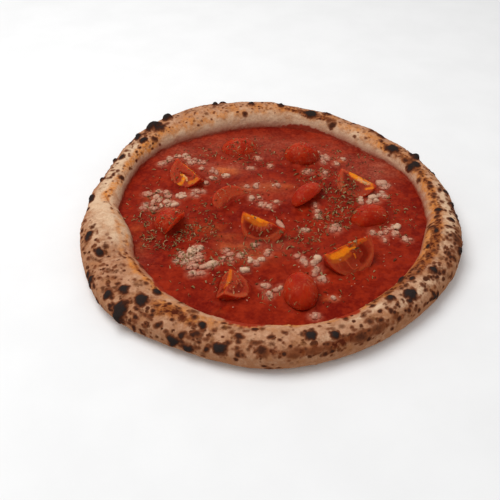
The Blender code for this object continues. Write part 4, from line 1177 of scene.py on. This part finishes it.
def whole_section(x, y, half_sizes):
    """A section with its outer wall, ribs, gel and core, where the photo shows none."""
    u, v = x / half_sizes[0], y / half_sizes[1]
    far = np.hypot(u, v)
    angle = np.degrees(np.arctan2(v, u))
    ribs = np.exp(-(((angle + 12) % 45 - 22.5) / 4.5) ** 2) * smooth(far, 0.30, 0.40)
    gel = smooth(far, 0.36, 0.46) * (1 - smooth(far, 0.70, 0.80)) * (1 - ribs)
    core = (1 - smooth(np.abs(v), 0.08, 0.24)) * (1 - smooth(np.abs(u), 0.40, 0.70))
    return {"rim": 0.6 * ribs * (1 - core), "gel": gel, "core": 0.7 * core}


def cut_face(number, face, local, half_sizes, cut):
    """Masks of what shows on a cut face: outer wall, gel, core, pale flesh and seeds."""
    side = np.cross(cut, (1, 0, 0))
    side = side * (1 if side[2] <= 0 else -1)
    x, y = local[:, 0], local @ side
    wander = 0.5 * MM * perlin(local, 0.0025), 0.5 * MM * perlin(local + 1, 0.0025)
    masks = dict.fromkeys(FLESH_RELIEF, np.zeros(len(local)))
    rows = [row for row in FACE_MARKS if row[:2] == (number, face)]
    if not rows:
        masks |= whole_section(x, y, half_sizes)
    for _, _, kind, half_width, strength, *line in rows:
        line = [(a * MM, b * MM) for a, b in line]
        mask = strength * stroke(x + wander[0], y + wander[1], half_width * MM, line)
        masks[kind] = np.maximum(masks[kind], mask)
    for owner, side_number, *seeds in SEEDS:
        if (owner, side_number) == (number, face):
            for a, b, c, d in seeds:
                mask = stroke(x, y, SEED_WIDTH, [(a * MM, b * MM), (c * MM, d * MM)])
                masks["seed"] = np.maximum(masks["seed"], mask)
    skin_edge = smooth(np.hypot(x / half_sizes[0], y / half_sizes[1]), 0.82, 0.93)
    masks["rim"] = np.maximum(masks["rim"], 0.45 * skin_edge)
    masks["gel"] = masks["gel"] * (1 - masks["rim"]) * (1 - masks["core"])
    return masks


def tomato_piece(number, place, half_sizes, cuts, ball, material):
    """One piece: a ball cut by planes, with its edges slightly rounded."""
    directions, faces = ball
    name = f"tomato_{number:02d}"
    packed = np.array([vertex.co for vertex in frame["nodes"][name].data.vertices])
    inside = np.array(place.inverted() @ Vector(packed.mean(0) - RING_MIDDLE))
    turn = np.array(place.to_3x3())
    reaches = [reach_to_skin(inside, directions, half_sizes)]
    reaches += [reach_to_plane(inside, directions, np.array(cut), 0.0) for cut in cuts]
    down = turn.T @ np.array((0, 0, -1.0))
    reaches.append(reach_to_plane(inside, directions, down, place.translation.z - SAUCE_TOP + SINK))
    edge = ROUND_EDGE if number in ROUND_EDGED else SHARP_EDGE
    sharpness, marks_from, marks_full, flesh_from = edge
    near = np.array(reaches) ** -sharpness
    share = near / near.sum(0)
    local = inside + directions * (near.sum(0) ** (-1 / sharpness))[:, None]
    shown = dict.fromkeys(FLESH_RELIEF, 0.0)
    for k, cut in enumerate(cuts):
        on_cut = smooth(share[1 + k], marks_from, marks_full)
        for kind, mask in cut_face(number, k, local, half_sizes, np.array(cut)).items():
            shown[kind] = shown[kind] + mask * on_cut
    world = local @ turn.T + np.array(place.translation)
    relief = sum(rise * shown[kind] for kind, rise in FLESH_RELIEF.items())
    relief += 0.50 * rough(world, 0.009) + 0.14 * perlin(world, 0.0020)
    relief += 0.07 * perlin(world + 5, 0.0009)
    world += (directions @ turn.T) * relief[:, None] * MM
    piece = make_piece(f"cut_{name}", world, faces, material)
    cut_share = smooth(share[1:-1].sum(0), flesh_from, flesh_from + 0.3)
    paint(piece, "flesh", cut_share, shown["core"], shown["gel"])
    paint(piece, "wall", shown["rim"], shown["pale"], shown["seed"])
    # Painted light on cut faces in shade.
    paint(piece, "light", shown["thin"])
    return piece


def tomato_material(look):
    material, tree, shader, point = new_material("cut_tomato", 0.36, 0.07, (1, 0.6, 0.4))
    soften(shader, 0.7, (1.0, 0.14, 0.06), 8 * MM)
    cut, core, gel = channels(tree, "flesh")
    rim, pale, seed = channels(tree, "wall")
    cloud = mottle(tree, point, 0.010, 0.35, 0.65)
    patch = mottle(tree, point, 0.0034, 0.42, 0.68)
    fine = mottle(tree, point, 0.0011, 0.38, 0.70)
    skin = blend(tree, cloud, look.skin, look.ripe)
    # Painted sheen: pinkish highlight patches, broken up by streaks, laid on the skin.
    streaks = mottle(tree, point, 0.0017, 0.50, 0.64)
    painted_sheen_patches = mottle(tree, point, 0.008, 0.42, 0.60)
    painted_sheen_patches = broken(tree, painted_sheen_patches, streaks, 0.10)
    skin = blend(tree, times(tree, painted_sheen_patches, 0.55), skin, look.painted_sheen)
    flesh = blend(tree, times(tree, fine, 0.6), look.flesh, look.ripe)
    flesh = blend(tree, times(tree, patch, 0.25), flesh, look.rim)
    flesh = blend(tree, gel, flesh, look.gel)
    for mask, beside, inside, tone in ((rim, 0.95, 0.65, look.rim), (core, 1.0, 0.8, look.core),
                                       (pale, 0.9, 0.5, look.pale), (seed, 0.7, 0.5, look.seed)):
        flesh = blend(tree, broken(tree, mask, fine, beside, inside), flesh, tone)
    # Painted light: flesh made brighter where the marks say, on cut faces that lie in shade.
    lit = blend(tree, 1.0, flesh, look.glow, "MULTIPLY")
    flesh = blend(tree, channels(tree, "light")[0], flesh, lit)
    colour_out = blend(tree, cut, skin, flesh)
    grain = grain_of(tree, point, 0.0013)
    finish_surface(tree, shader, colour_out, grain, 0.00022)
    return material


def cut_tomatoes(settings):
    material = tomato_material(settings)
    pieces = []
    for shape, sizes, detail in ((half_frame, TOMATO_HALVES, HALF_DETAIL),
                                 (wedge_frame, TOMATO_WEDGES, WEDGE_DETAIL)):
        ball = ball_of_directions(detail)
        for values in sizes:
            pieces.append(tomato_piece(len(pieces) + 1, *shape(*values), ball, material))
    return pieces


def surface_of(*pieces):
    """One search tree over the meshes of pieces that stand at the origin."""
    points, faces = [], []
    for piece in pieces:
        start = len(points)
        points += [vertex.co for vertex in piece.data.vertices]
        faces += [[start + index for index in face.vertices] for face in piece.data.polygons]
    return BVHTree.FromPolygons(points, faces)


# ---------------------------------------------------------------- the sauce

SAUCE_CELLS = 296             # along each side of the square that is rounded into the disc
SAUCE_WAVE_SCALE = 14 * MM    # distance over which its waves change
SAUCE_EDGE_FADE = 9.0 * MM    # how far from the crust the waves are full
SAUCE_OVERLAP = 0.5 * MM      # the sauce touches the crust
EDGE_CREEP = 1.1 * MM         # how far it climbs the crust
EDGE_CREEP_FADE = 1.6 * MM    # how soon that dies out away from the crust
CREEP_FADE = 1.9 * MM         # the same away from a tomato
CREEP_REACH = 5.0 * MM        # how far from a tomato the sauce takes notice of it
JUICE_SPREAD = 2.2 * MM       # how far garlic clouds the sauce round it
TOMATO_SHADE = 1.2 * MM       # how soon the painted shade on the sauce at the foot of a tomato fades


def round_square(cells):
    """An even square grid bent into a disc: bearings, and shares of the way to its edge."""
    steps = np.linspace(-1, 1, cells + 1)
    a, b = np.meshgrid(steps, steps, indexing="ij")
    flat = np.abs(a) > np.abs(b)
    with np.errstate(divide="ignore", invalid="ignore"):
        angle = np.where(flat, 45 * b / a, 90 - 45 * a / b)
    reach = np.where(flat, a, b)
    angle = np.where(np.isfinite(angle), angle, 0)
    return (np.where(reach < 0, angle + 180, angle) % 360).ravel(), np.abs(reach).ravel()


def heap_distance(points, x, y, half_x, half_y, spread=0.0):
    """How far points lie from the middle of an oval heap, as a share of its half sizes."""
    return np.hypot((points[:, 0] - x * MM) / (half_x * MM + spread),
                    (points[:, 1] - y * MM) / (half_y * MM + spread))


def heap_cover(points, heaps, spread):
    """How strongly a list of heaps covers places on the level, from 0 to 1."""
    cover = np.zeros(len(points))
    for x, y, half_x, half_y, *_ in heaps:
        away = heap_distance(points, x, y, half_x, half_y, spread)
        cover = np.maximum(cover, np.exp(-away ** 2))
    return cover


def sauce_level(points, edge_room, settings):
    """Height of the sauce before it meets what stands in it, and how orange it is."""
    level = points.copy()
    level[:, 2] = 0
    fade = np.clip(edge_room / SAUCE_EDGE_FADE, 0, 1)
    height = SAUCE_TOP + settings.wave * perlin(level, SAUCE_WAVE_SCALE) * fade
    height += 0.34 * MM * perlin(level + 2, 0.0055) + 0.10 * MM * perlin(level + 4, 0.0021)
    orange = np.zeros(len(points))
    lumps = rough(level + 6, 0.004)
    for *heap, rise, tint in PULP:
        body = np.exp(-heap_distance(level, *heap) ** 2 * 1.2)
        height += rise * MM * body * (0.6 + 0.9 * lumps)
        orange = np.maximum(orange, tint * body * (0.85 + 0.9 * lumps))
    return height, np.clip(orange, 0, 1)


def sauce_material(look):
    material, tree, shader, point = new_material("tomato_sauce", 0.36, 0.05, (1, 0.4, 0.25))
    orange, juice_and_sheen, dark = channels(tree, "sauce")
    wide = mottle(tree, point, 0.030, 0.38, 0.66)
    patch = mottle(tree, point, 0.0055, 0.40, 0.64)
    fine = mottle(tree, point, 0.0020, 0.40, 0.64)
    share = calc(tree, "MULTIPLY_ADD", patch, 0.42, times(tree, wide, 0.34))
    share = calc(tree, "MULTIPLY_ADD", fine, 0.20, share)
    base = blend(tree, share, look.deep, look.bright)
    base = blend(tree, broken(tree, orange, fine, 0.70), base, look.pulp)
    # Garlic juice, and a painted sheen towards the back.
    base = blend(tree, broken(tree, juice_and_sheen, fine, 0.45, 0.9), base, look.juice_and_sheen)
    # Painted shade: the sauce darker at the foot of each tomato.
    base = blend(tree, times(tree, dark, 0.25), base, look.deep)
    grain = grain_of(tree, point, 0.0034)
    finish_surface(tree, shader, base, grain, 0.00026)
    return material


def disc_faces(cells):
    """Quads of the square grid, its rim down to the floor, and a fan that closes the floor."""
    side = cells + 1
    faces = []
    for a in range(cells):
        for b in range(cells):
            corner = a * side + b
            faces.append((corner, corner + side, corner + side + 1, corner + 1))
    rim = [a * side for a in range(cells)] + [cells * side + b for b in range(cells)]
    rim += [a * side + cells for a in range(cells, 0, -1)] + [b for b in range(cells, 0, -1)]
    low, centre = side * side, side * side + len(rim)
    for k in range(len(rim)):
        after = (k + 1) % len(rim)
        faces.append((rim[k], low + k, low + after, rim[after]))
        faces.append((low + k, centre, low + after))
    return faces, rim


def spread_sauce(settings, tomatoes):
    bearing, share = round_square(SAUCE_CELLS)
    edge = wall_radius(bearing, SAUCE_TOP) + SAUCE_OVERLAP
    points = turned(bearing) * (share * edge)[:, None]
    room = (1 - share) * edge
    height, orange = sauce_level(points, room, settings)
    surface = surface_of(*tomatoes)
    away = np.full(len(points), CREEP_REACH)
    for k, (x, y, _) in enumerate((points + RING_MIDDLE).tolist()):
        place, _, _, distance = surface.find_nearest((x, y, height[k]), CREEP_REACH)
        if place is not None:
            away[k] = distance
    ragged = perlin(points + 9, 0.006)
    climb = settings.creep * np.exp(-away / CREEP_FADE) * (1 + 0.5 * ragged)
    climb += EDGE_CREEP * np.exp(-room / EDGE_CREEP_FADE) * (0.5 + 0.8 * ragged)
    points[:, 2] = height + climb
    faces, rim = disc_faces(SAUCE_CELLS)
    low = turned(bearing[rim]) * wall_radius(bearing[rim], BASE_TOP + GAP)[:, None]
    low[:, 2] = BASE_TOP + GAP
    everything = np.concatenate((points, low, ((0, 0, BASE_TOP + GAP),)))
    piece = make_piece("tomato_sauce", everything, faces, sauce_material(settings))
    spare = np.zeros(len(rim) + 1)
    juice_and_sheen = smooth(heap_cover(points, GARLIC_CLUMPS, JUICE_SPREAD), 0.2, 0.9)
    cloudy = rough(points * (1, 1, 0) + 11, 0.012)
    # Juice round the garlic, and a painted sheen over the back of the sauce.
    for *place, strength in JUICE_AND_SHEEN_PATCHES:
        cover = heap_cover(points, (place,), 0.0)
        juice_and_sheen = np.maximum(juice_and_sheen, strength * cover * (1 + 1.2 * cloudy))
    # Painted shade at the foot of each tomato.
    dark = np.exp(-away / TOMATO_SHADE) * (away < CREEP_REACH)
    paint(piece, "sauce", *(np.concatenate((mask, spare)) for mask in (orange, juice_and_sheen, dark)))
    return piece


# ---------------------------------------------------------------- scattered toppings

SHAPE_KINDS = 6               # different bits, and as many different flakes
MANY_PICKS = 99               # more than there are shapes, as a higher number wraps round
DROP_FROM = 100 * MM          # height that toppings fall from


def read_field(tree, name):
    """The stored vector of that name on each point."""
    node = put(tree, "GeometryNodeInputNamedAttribute", {"Name": name}, data_type="FLOAT_VECTOR")
    return node.outputs["Attribute"]


def scatter_tree(name):
    """Sets one of several shapes on every point, turned and sized as the point says."""
    tree, given, result = new_group(
        name,
        (("Geometry", "Geometry"), ("Shapes", "Collection"), ("Size", "Float", 1.0),
         ("Seed", "Int", SEED), ("Finish", "Material")),
        (("Geometry", "Geometry"),), "Geometry")
    shapes = put(tree, "GeometryNodeCollectionInfo", {
        "Collection": given["Shapes"], "Separate Children": True, "Reset Children": True})
    whole_max = 5             # the input for the largest whole number
    pick = put(tree, "FunctionNodeRandomValue", {whole_max: MANY_PICKS, "Seed": given["Seed"]},
               data_type="INT")
    turn = put(tree, "FunctionNodeEulerToRotation", {0: read_field(tree, "turn")})
    size = put(tree, "VectorMath", {0: read_field(tree, "size"), "Scale": given["Size"]},
               operation="SCALE")
    place = put(tree, "GeometryNodeInstanceOnPoints", {
        "Points": given["Geometry"], "Instance": shapes.outputs[0], "Pick Instance": True,
        "Instance Index": pick.outputs[2], "Rotation": turn.outputs[0],
        "Scale": size.outputs[0]})
    real = put(tree, "GeometryNodeRealizeInstances", {0: place.outputs[0]})
    finish = put(tree, "GeometryNodeSetMaterial", {
        "Geometry": real.outputs[0], "Material": given["Finish"]})
    tree.links.new(finish.outputs[0], result.inputs[0])
    return tree


def scatter(name, places, shapes, size, material):
    """Realize shapes on places, which are rows of (point, turn, size, tone)."""
    holder = bpy.data.meshes.new(f"{name}_places")
    holder.from_pydata([place[0] for place in places], [], [])
    for label, kind, column in (("turn", "FLOAT_VECTOR", 1), ("size", "FLOAT_VECTOR", 2),
                                ("tone", "FLOAT", 3)):
        layer = holder.attributes.new(label, kind, "POINT")
        values = np.array([place[column] for place in places], np.float32).ravel()
        layer.data.foreach_set("vector" if kind == "FLOAT_VECTOR" else "value", values)
    carrier = add_object(f"{name}_places", holder)
    group = bpy.data.collections.new(f"{name}_shapes")
    for shape in shapes:
        group.objects.link(shape)
    nodes = carrier.modifiers.new("Scatter", "NODES")
    nodes.node_group = scatter_tree(f"{name}_scatter")
    values = {"Shapes": group, "Size": size, "Seed": SEED, "Finish": material}
    for item in nodes.node_group.interface.items_tree:
        if item.in_out == "INPUT" and item.name in values:
            nodes[item.identifier] = values[item.name]
    view = bpy.context.evaluated_depsgraph_get()
    mesh = bpy.data.meshes.new_from_object(carrier.evaluated_get(view))
    carrier.modifiers.remove(nodes)
    bpy.data.objects.remove(carrier, do_unlink=True)
    for shape in shapes:
        bpy.data.objects.remove(shape, do_unlink=True)
    bpy.data.collections.remove(group)
    mesh.name = name
    mesh.shade_smooth()
    return add_object(name, mesh)


def loose_object(name, bm):
    """A shape to scatter, which is not itself in the scene."""
    mesh = bpy.data.meshes.new(name)
    bm.to_mesh(mesh)
    bm.free()
    return bpy.data.objects.new(name, mesh)


def land(surface, x, y):
    """Where something that falls there lands, or None, and the way that the surface faces."""
    return surface.ray_cast(Vector((x, y, DROP_FROM)), Vector((0, 0, -1)))[:2]


def in_disc(draw):
    """A random place in a disc of radius 1, and how far out it is."""
    angle, far = draw.uniform(0, math.tau), math.sqrt(draw.random())
    return far * math.cos(angle), far * math.sin(angle), far


def garlic_shapes(draw):
    """Chopped bits of garlic: uneven, with flats where the knife went."""
    shapes = []
    for k in range(SHAPE_KINDS):
        bm = bmesh.new()
        bmesh.ops.create_icosphere(bm, subdivisions=2, radius=0.5)
        flats = []
        for axis in (Vector((1, 0, 0)), Vector((0, 1, 0)), Vector((0, 0, 1))):
            for way in (-1, 1):
                lean = Vector((draw.gauss(0, 0.2), draw.gauss(0, 0.2), draw.gauss(0, 0.2)))
                flats.append((axis * way + lean).normalized())
        for vertex in bm.verts:
            for flat in flats:
                beyond = vertex.co.dot(flat) - 0.33
                if beyond > 0:
                    vertex.co -= flat * beyond * 0.75
            vertex.co *= 1 + 0.10 * noise.noise(vertex.co * 3 + Vector((k, 0, 0)))
        shapes.append(loose_object(f"garlic_bit_{k}", bm))
    return shapes


GARLIC_BITS = (2.4, 5.8)      # millimetres that the bits are long, before the setting scales them
GARLIC_MEAN = 4.4 * MM        # the setting that leaves them as they are
GARLIC_CRUMBS = 150           # single crumbs, between the clumps
CRUMB_FIELD = 112 * MM        # radius that the crumbs are strewn over
BITS_PER_AREA = 0.62          # bits in a clump, for its half length times its half width


def garlic_places(draw, surface):
    """Bits of garlic in their clumps, and crumbs between them."""
    places = []

    def add(x, y, size, pale, heap):
        place, _ = land(surface, x, y)
        if place is None:
            return
        height = size * draw.uniform(0.40, 0.55)
        z = place.z + height * 0.04 + heap
        turn = (draw.gauss(0, 0.16), draw.gauss(0, 0.16), draw.uniform(0, math.tau))
        places.append(((x, y, z), turn, (size, size * draw.uniform(0.6, 0.95), height), pale))

    for x, y, half_x, half_y, pale in GARLIC_CLUMPS:
        for _ in range(max(3, round(half_x * half_y * BITS_PER_AREA))):
            right, back, far = in_disc(draw)
            px = RING_MIDDLE[0] + (x + max(half_x - 1.4, 0.2) * right) * MM
            py = RING_MIDDLE[1] + (y + max(half_y - 1.2, 0.2) * back) * MM
            size = draw.uniform(*GARLIC_BITS) * MM
            tone = pale + draw.uniform(-0.25, 0.3) + 0.15 * (0.6 - far)
            add(px, py, size, min(1.0, max(0.0, tone)), (1 - far) * draw.uniform(0, 1.0) * MM)
    for x, y, long, wide, tall, turn, pale in GARLIC_SLICES:
        px, py = x * MM + RING_MIDDLE[0], y * MM + RING_MIDDLE[1]
        place, _ = land(surface, px, py)
        places.append(((px, py, place.z + tall * 0.25 * MM), (0, 0, math.radians(turn)),
                       (long * MM, wide * MM, tall * MM), pale))
    for _ in range(GARLIC_CRUMBS):
        right, back, _ = in_disc(draw)
        add(right * CRUMB_FIELD, back * CRUMB_FIELD, draw.uniform(0.8, 1.7) * MM,
            draw.uniform(0.3, 0.9), 0.0)
    return places


def garlic_material(look):
    material, tree, shader, point = new_material("chopped_garlic", 0.5, 0.15)
    soften(shader, 0.4, (1.0, 0.9, 0.8), 1.2 * MM)
    tone = put(tree, "Attribute", attribute_name="tone").outputs["Fac"]
    cloud = mottle(tree, point, 0.0026, 0.35, 0.65)
    share = calc(tree, "MULTIPLY_ADD", cloud, 0.30, times(tree, tone, 0.80))
    share = calc(tree, "SUBTRACT", share, 0.06)
    base = blend(tree, share, look.garlic, look.pale_garlic)
    height = put(tree, "SeparateXYZ", {0: point}).outputs["Z"]
    wet = between(tree, height, SAUCE_TOP, SAUCE_TOP + 2.2 * MM, 0.70, 0.0)
    base = blend(tree, wet, base, look.wet_garlic)
    grain = grain_of(tree, point, 0.0012)
    finish_surface(tree, shader, base, grain, 0.00015)
    return material


def scatter_garlic(settings, ground):
    draw = random.Random(SEED + 2)
    places = garlic_places(draw, surface_of(*ground))
    scale = settings.garlic_bit / GARLIC_MEAN
    return scatter("chopped_garlic", places, garlic_shapes(draw), scale, garlic_material(settings))


def oregano_shapes(draw):
    """Crumbled leaf: thin curled slivers of a few faces, the first two of them wider."""
    shapes = []
    for k in range(SHAPE_KINDS):
        bm = bmesh.new()
        wide = k < 2
        across = 2 if wide else 1
        rows = []
        for a in range(5):
            t = a / 4
            half = 0.05 + 0.13 * math.sin(math.pi * min(1, t + 0.08)) * draw.uniform(0.7, 1.3)
            half *= 1.0 if wide else 0.62
            curl = 0.18 * math.sin(math.pi * t) * (1 if k % 2 else -0.6) + draw.uniform(-0.04, 0.04)
            row = []
            for b in range(across + 1):
                side = (b / across * 2 - 1) * half
                dip = 0.10 * (abs(side) / 0.18) * draw.uniform(0.6, 1.4)
                row.append(bm.verts.new((t - 0.5, side + draw.uniform(-0.03, 0.03), curl + dip)))
            rows.append(row)
        for one, other in zip(rows, rows[1:]):
            for b in range(across):
                bm.faces.new((one[b], other[b], other[b + 1], one[b + 1]))
        bmesh.ops.solidify(bm, geom=bm.faces[:], thickness=0.08)
        bmesh.ops.recalc_face_normals(bm, faces=bm.faces[:])
        shapes.append(loose_object(f"oregano_flake_{k}", bm))
    return shapes


def oregano_places(draw, surface):
    """Flakes of oregano in their patches, lying as the surface under them does."""
    places = []
    for x, y, half_x, half_y, count in OREGANO_PATCHES:
        for _ in range(count):
            right, back, _ = in_disc(draw)
            place, facing = land(surface, (x + half_x * right) * MM + RING_MIDDLE[0],
                                 (y + half_y * back) * MM + RING_MIDDLE[1])
            if place is None:
                continue
            lean = facing.to_track_quat("Z", "Y").to_matrix()
            spin = Euler((draw.gauss(0, 0.25), draw.gauss(0, 0.25), draw.uniform(0, math.tau)))
            turn = (lean @ spin.to_matrix()).to_euler()
            size = draw.uniform(0.7, 1.5) * draw.uniform(0.8, 1.2)
            places.append((tuple(place + facing * 0.15 * MM), tuple(turn),
                           (size, size * draw.uniform(0.6, 1.1), size), draw.random()))
    return places


def oregano_material(look):
    material, tree, shader, point = new_material("dried_oregano", 0.8, 0.12)
    tone = put(tree, "Attribute", attribute_name="tone").outputs["Fac"]
    base = blend(tree, between(tree, tone, 0.0, 0.45), look.dark_leaf, look.leaf)
    base = blend(tree, between(tree, tone, 0.55, 1.0), base, look.stalk)
    cloud = mottle(tree, point, 0.0012, 0.35, 0.7)
    base = blend(tree, times(tree, cloud, 0.35), base, look.leaf)
    grain = grain_of(tree, point, 0.0006)
    finish_surface(tree, shader, base, grain, 0.0001)
    return material


def scatter_oregano(settings, ground):
    draw = random.Random(SEED + 3)
    places = oregano_places(draw, surface_of(*ground))
    return scatter("dried_oregano", places, oregano_shapes(draw), settings.flake,
                   oregano_material(settings))


# ---------------------------------------------------------------- the stage

CAMERA_PLACE = (-0.0162, -0.4262, 0.3328)
CAMERA_AIM = (-0.0162, -0.0375, 0.0)
CAMERA_ROLL = 0.26            # degrees
WINDOW_PLACE = (-0.40, 0.12, 1.10)
WINDOW_SIZE = 0.9


def floor_material(look):
    material, tree, shader, point = new_material("pale_floor", 0.9, 0.2)
    cloud = mottle(tree, point, 0.05, 0.3, 0.7)
    darker = tuple(0.97 * value for value in look.floor)
    base = blend(tree, cloud, look.floor, darker)
    grain = grain_of(tree, point, 0.004)
    finish_surface(tree, shader, base, grain, 0.00005)
    return material


def set_stage(settings):
    scene = bpy.context.scene
    bpy.ops.mesh.primitive_plane_add(size=6.0)
    floor = bpy.context.object
    floor.name = "floor"
    floor.data.materials.append(floor_material(settings))
    lamp = bpy.data.lights.new("window", "AREA")
    lamp.shape = "DISK"
    lamp.size = WINDOW_SIZE
    lamp.energy = settings.key
    window = add_object("window", lamp)
    window.location = WINDOW_PLACE
    window.rotation_euler = (-Vector(WINDOW_PLACE)).to_track_quat("-Z", "Y").to_euler()
    world = bpy.data.worlds.new("room")
    world.use_nodes = True
    room = world.node_tree.nodes["Background"].inputs
    room["Color"].default_value = (1, 1, 1, 1)
    room["Strength"].default_value = settings.fill
    scene.world = world
    lens = bpy.data.cameras.new("camera")
    lens.lens = settings.lens
    lens.sensor_width = 36.0
    camera = add_object("camera", lens)
    place, aim = Vector(CAMERA_PLACE), Vector(CAMERA_AIM)
    roll = Matrix.Rotation(math.radians(CAMERA_ROLL), 4, "Z")
    facing = (aim - place).to_track_quat("-Z", "Y").to_matrix().to_4x4()
    camera.matrix_world = Matrix.Translation(place) @ facing @ roll
    scene.camera = camera
    scene.view_settings.view_transform = "Standard"


# ---------------------------------------------------------------- operators and panel

def found(prefix):
    """The finished pieces whose names start that way."""
    return [item for item in bpy.context.scene.objects if item.name.startswith(prefix)]


class BakeCrust(bpy.types.Operator):
    """Bake the crust with its blisters, scorch marks and folds"""

    bl_idname = "pizza.bake_crust"
    bl_label = "Bake the crust"

    def execute(self, context):
        hand_over(bake_crust(context.scene.pizza_crust), "crust", "crust")
        return {"FINISHED"}


class CutTomatoes(bpy.types.Operator):
    """Cut the tomatoes and lay them in the sauce"""

    bl_idname = "pizza.cut_tomatoes"
    bl_label = "Cut the tomatoes"

    def execute(self, context):
        for piece in cut_tomatoes(context.scene.pizza_tomato):
            hand_over(piece, "tomato", piece.name.replace("cut_", ""))
        return {"FINISHED"}


class SpreadSauce(bpy.types.Operator):
    """Spread the sauce up to the crust and round the tomatoes"""

    bl_idname = "pizza.spread_sauce"
    bl_label = "Spread the sauce"

    def execute(self, context):
        piece = spread_sauce(context.scene.pizza_sauce, found("cut_tomato"))
        hand_over(piece, "sauce", "sauce")
        return {"FINISHED"}


class ScatterGarlic(bpy.types.Operator):
    """Scatter chopped garlic over the sauce"""

    bl_idname = "pizza.scatter_garlic"
    bl_label = "Scatter the garlic"

    def execute(self, context):
        ground = found("cut_tomato") + found("tomato_sauce")
        hand_over(scatter_garlic(context.scene.pizza_toppings, ground), "sauce")
        return {"FINISHED"}


class ScatterOregano(bpy.types.Operator):
    """Scatter dried oregano over everything inside the crust"""

    bl_idname = "pizza.scatter_oregano"
    bl_label = "Scatter the oregano"

    def execute(self, context):
        ground = found("cut_tomato") + found("tomato_sauce") + found("chopped_garlic")
        hand_over(scatter_oregano(context.scene.pizza_toppings, ground), "sauce")
        return {"FINISHED"}


class SetStage(bpy.types.Operator):
    """Set the floor, the lights and the camera"""

    bl_idname = "pizza.set_stage"
    bl_label = "Set the stage"

    def execute(self, context):
        set_stage(context.scene.pizza_stage)
        return {"FINISHED"}


OPERATORS = (BakeCrust, CutTomatoes, SpreadSauce, ScatterGarlic, ScatterOregano, SetStage)
SETTINGS = {
    "pizza_crust": CrustSettings,
    "pizza_sauce": SauceSettings,
    "pizza_tomato": TomatoSettings,
    "pizza_toppings": ToppingSettings,
    "pizza_stage": StageSettings,
}


class PizzaPanel(bpy.types.Panel):
    """Lists the steps and their settings in the sidebar"""

    bl_idname = "VIEW3D_PT_pizza"
    bl_label = "Pizza marinara"
    bl_space_type = "VIEW_3D"
    bl_region_type = "UI"
    bl_category = "Pizza"

    def draw(self, context):
        for step in OPERATORS:
            self.layout.operator(step.bl_idname)
        for name, group in SETTINGS.items():
            box = self.layout.box()
            box.label(text=group.__doc__)
            for field in group.__annotations__:
                box.prop(getattr(context.scene, name), field)


def register():
    for kind in (*SETTINGS.values(), *OPERATORS, PizzaPanel):
        bpy.utils.register_class(kind)
    for name, group in SETTINGS.items():
        setattr(bpy.types.Scene, name, bpy.props.PointerProperty(type=group))


def unregister():
    for name in SETTINGS:
        delattr(bpy.types.Scene, name)
    for kind in (PizzaPanel, *reversed(OPERATORS), *SETTINGS.values()):
        bpy.utils.unregister_class(kind)


def main():
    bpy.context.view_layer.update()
    register()
    bpy.ops.pizza.bake_crust()
    bpy.ops.pizza.cut_tomatoes()
    bpy.ops.pizza.spread_sauce()
    bpy.ops.pizza.scatter_garlic()
    bpy.ops.pizza.scatter_oregano()
    bpy.ops.pizza.set_stage()


if __name__ == "__main__":
    main()
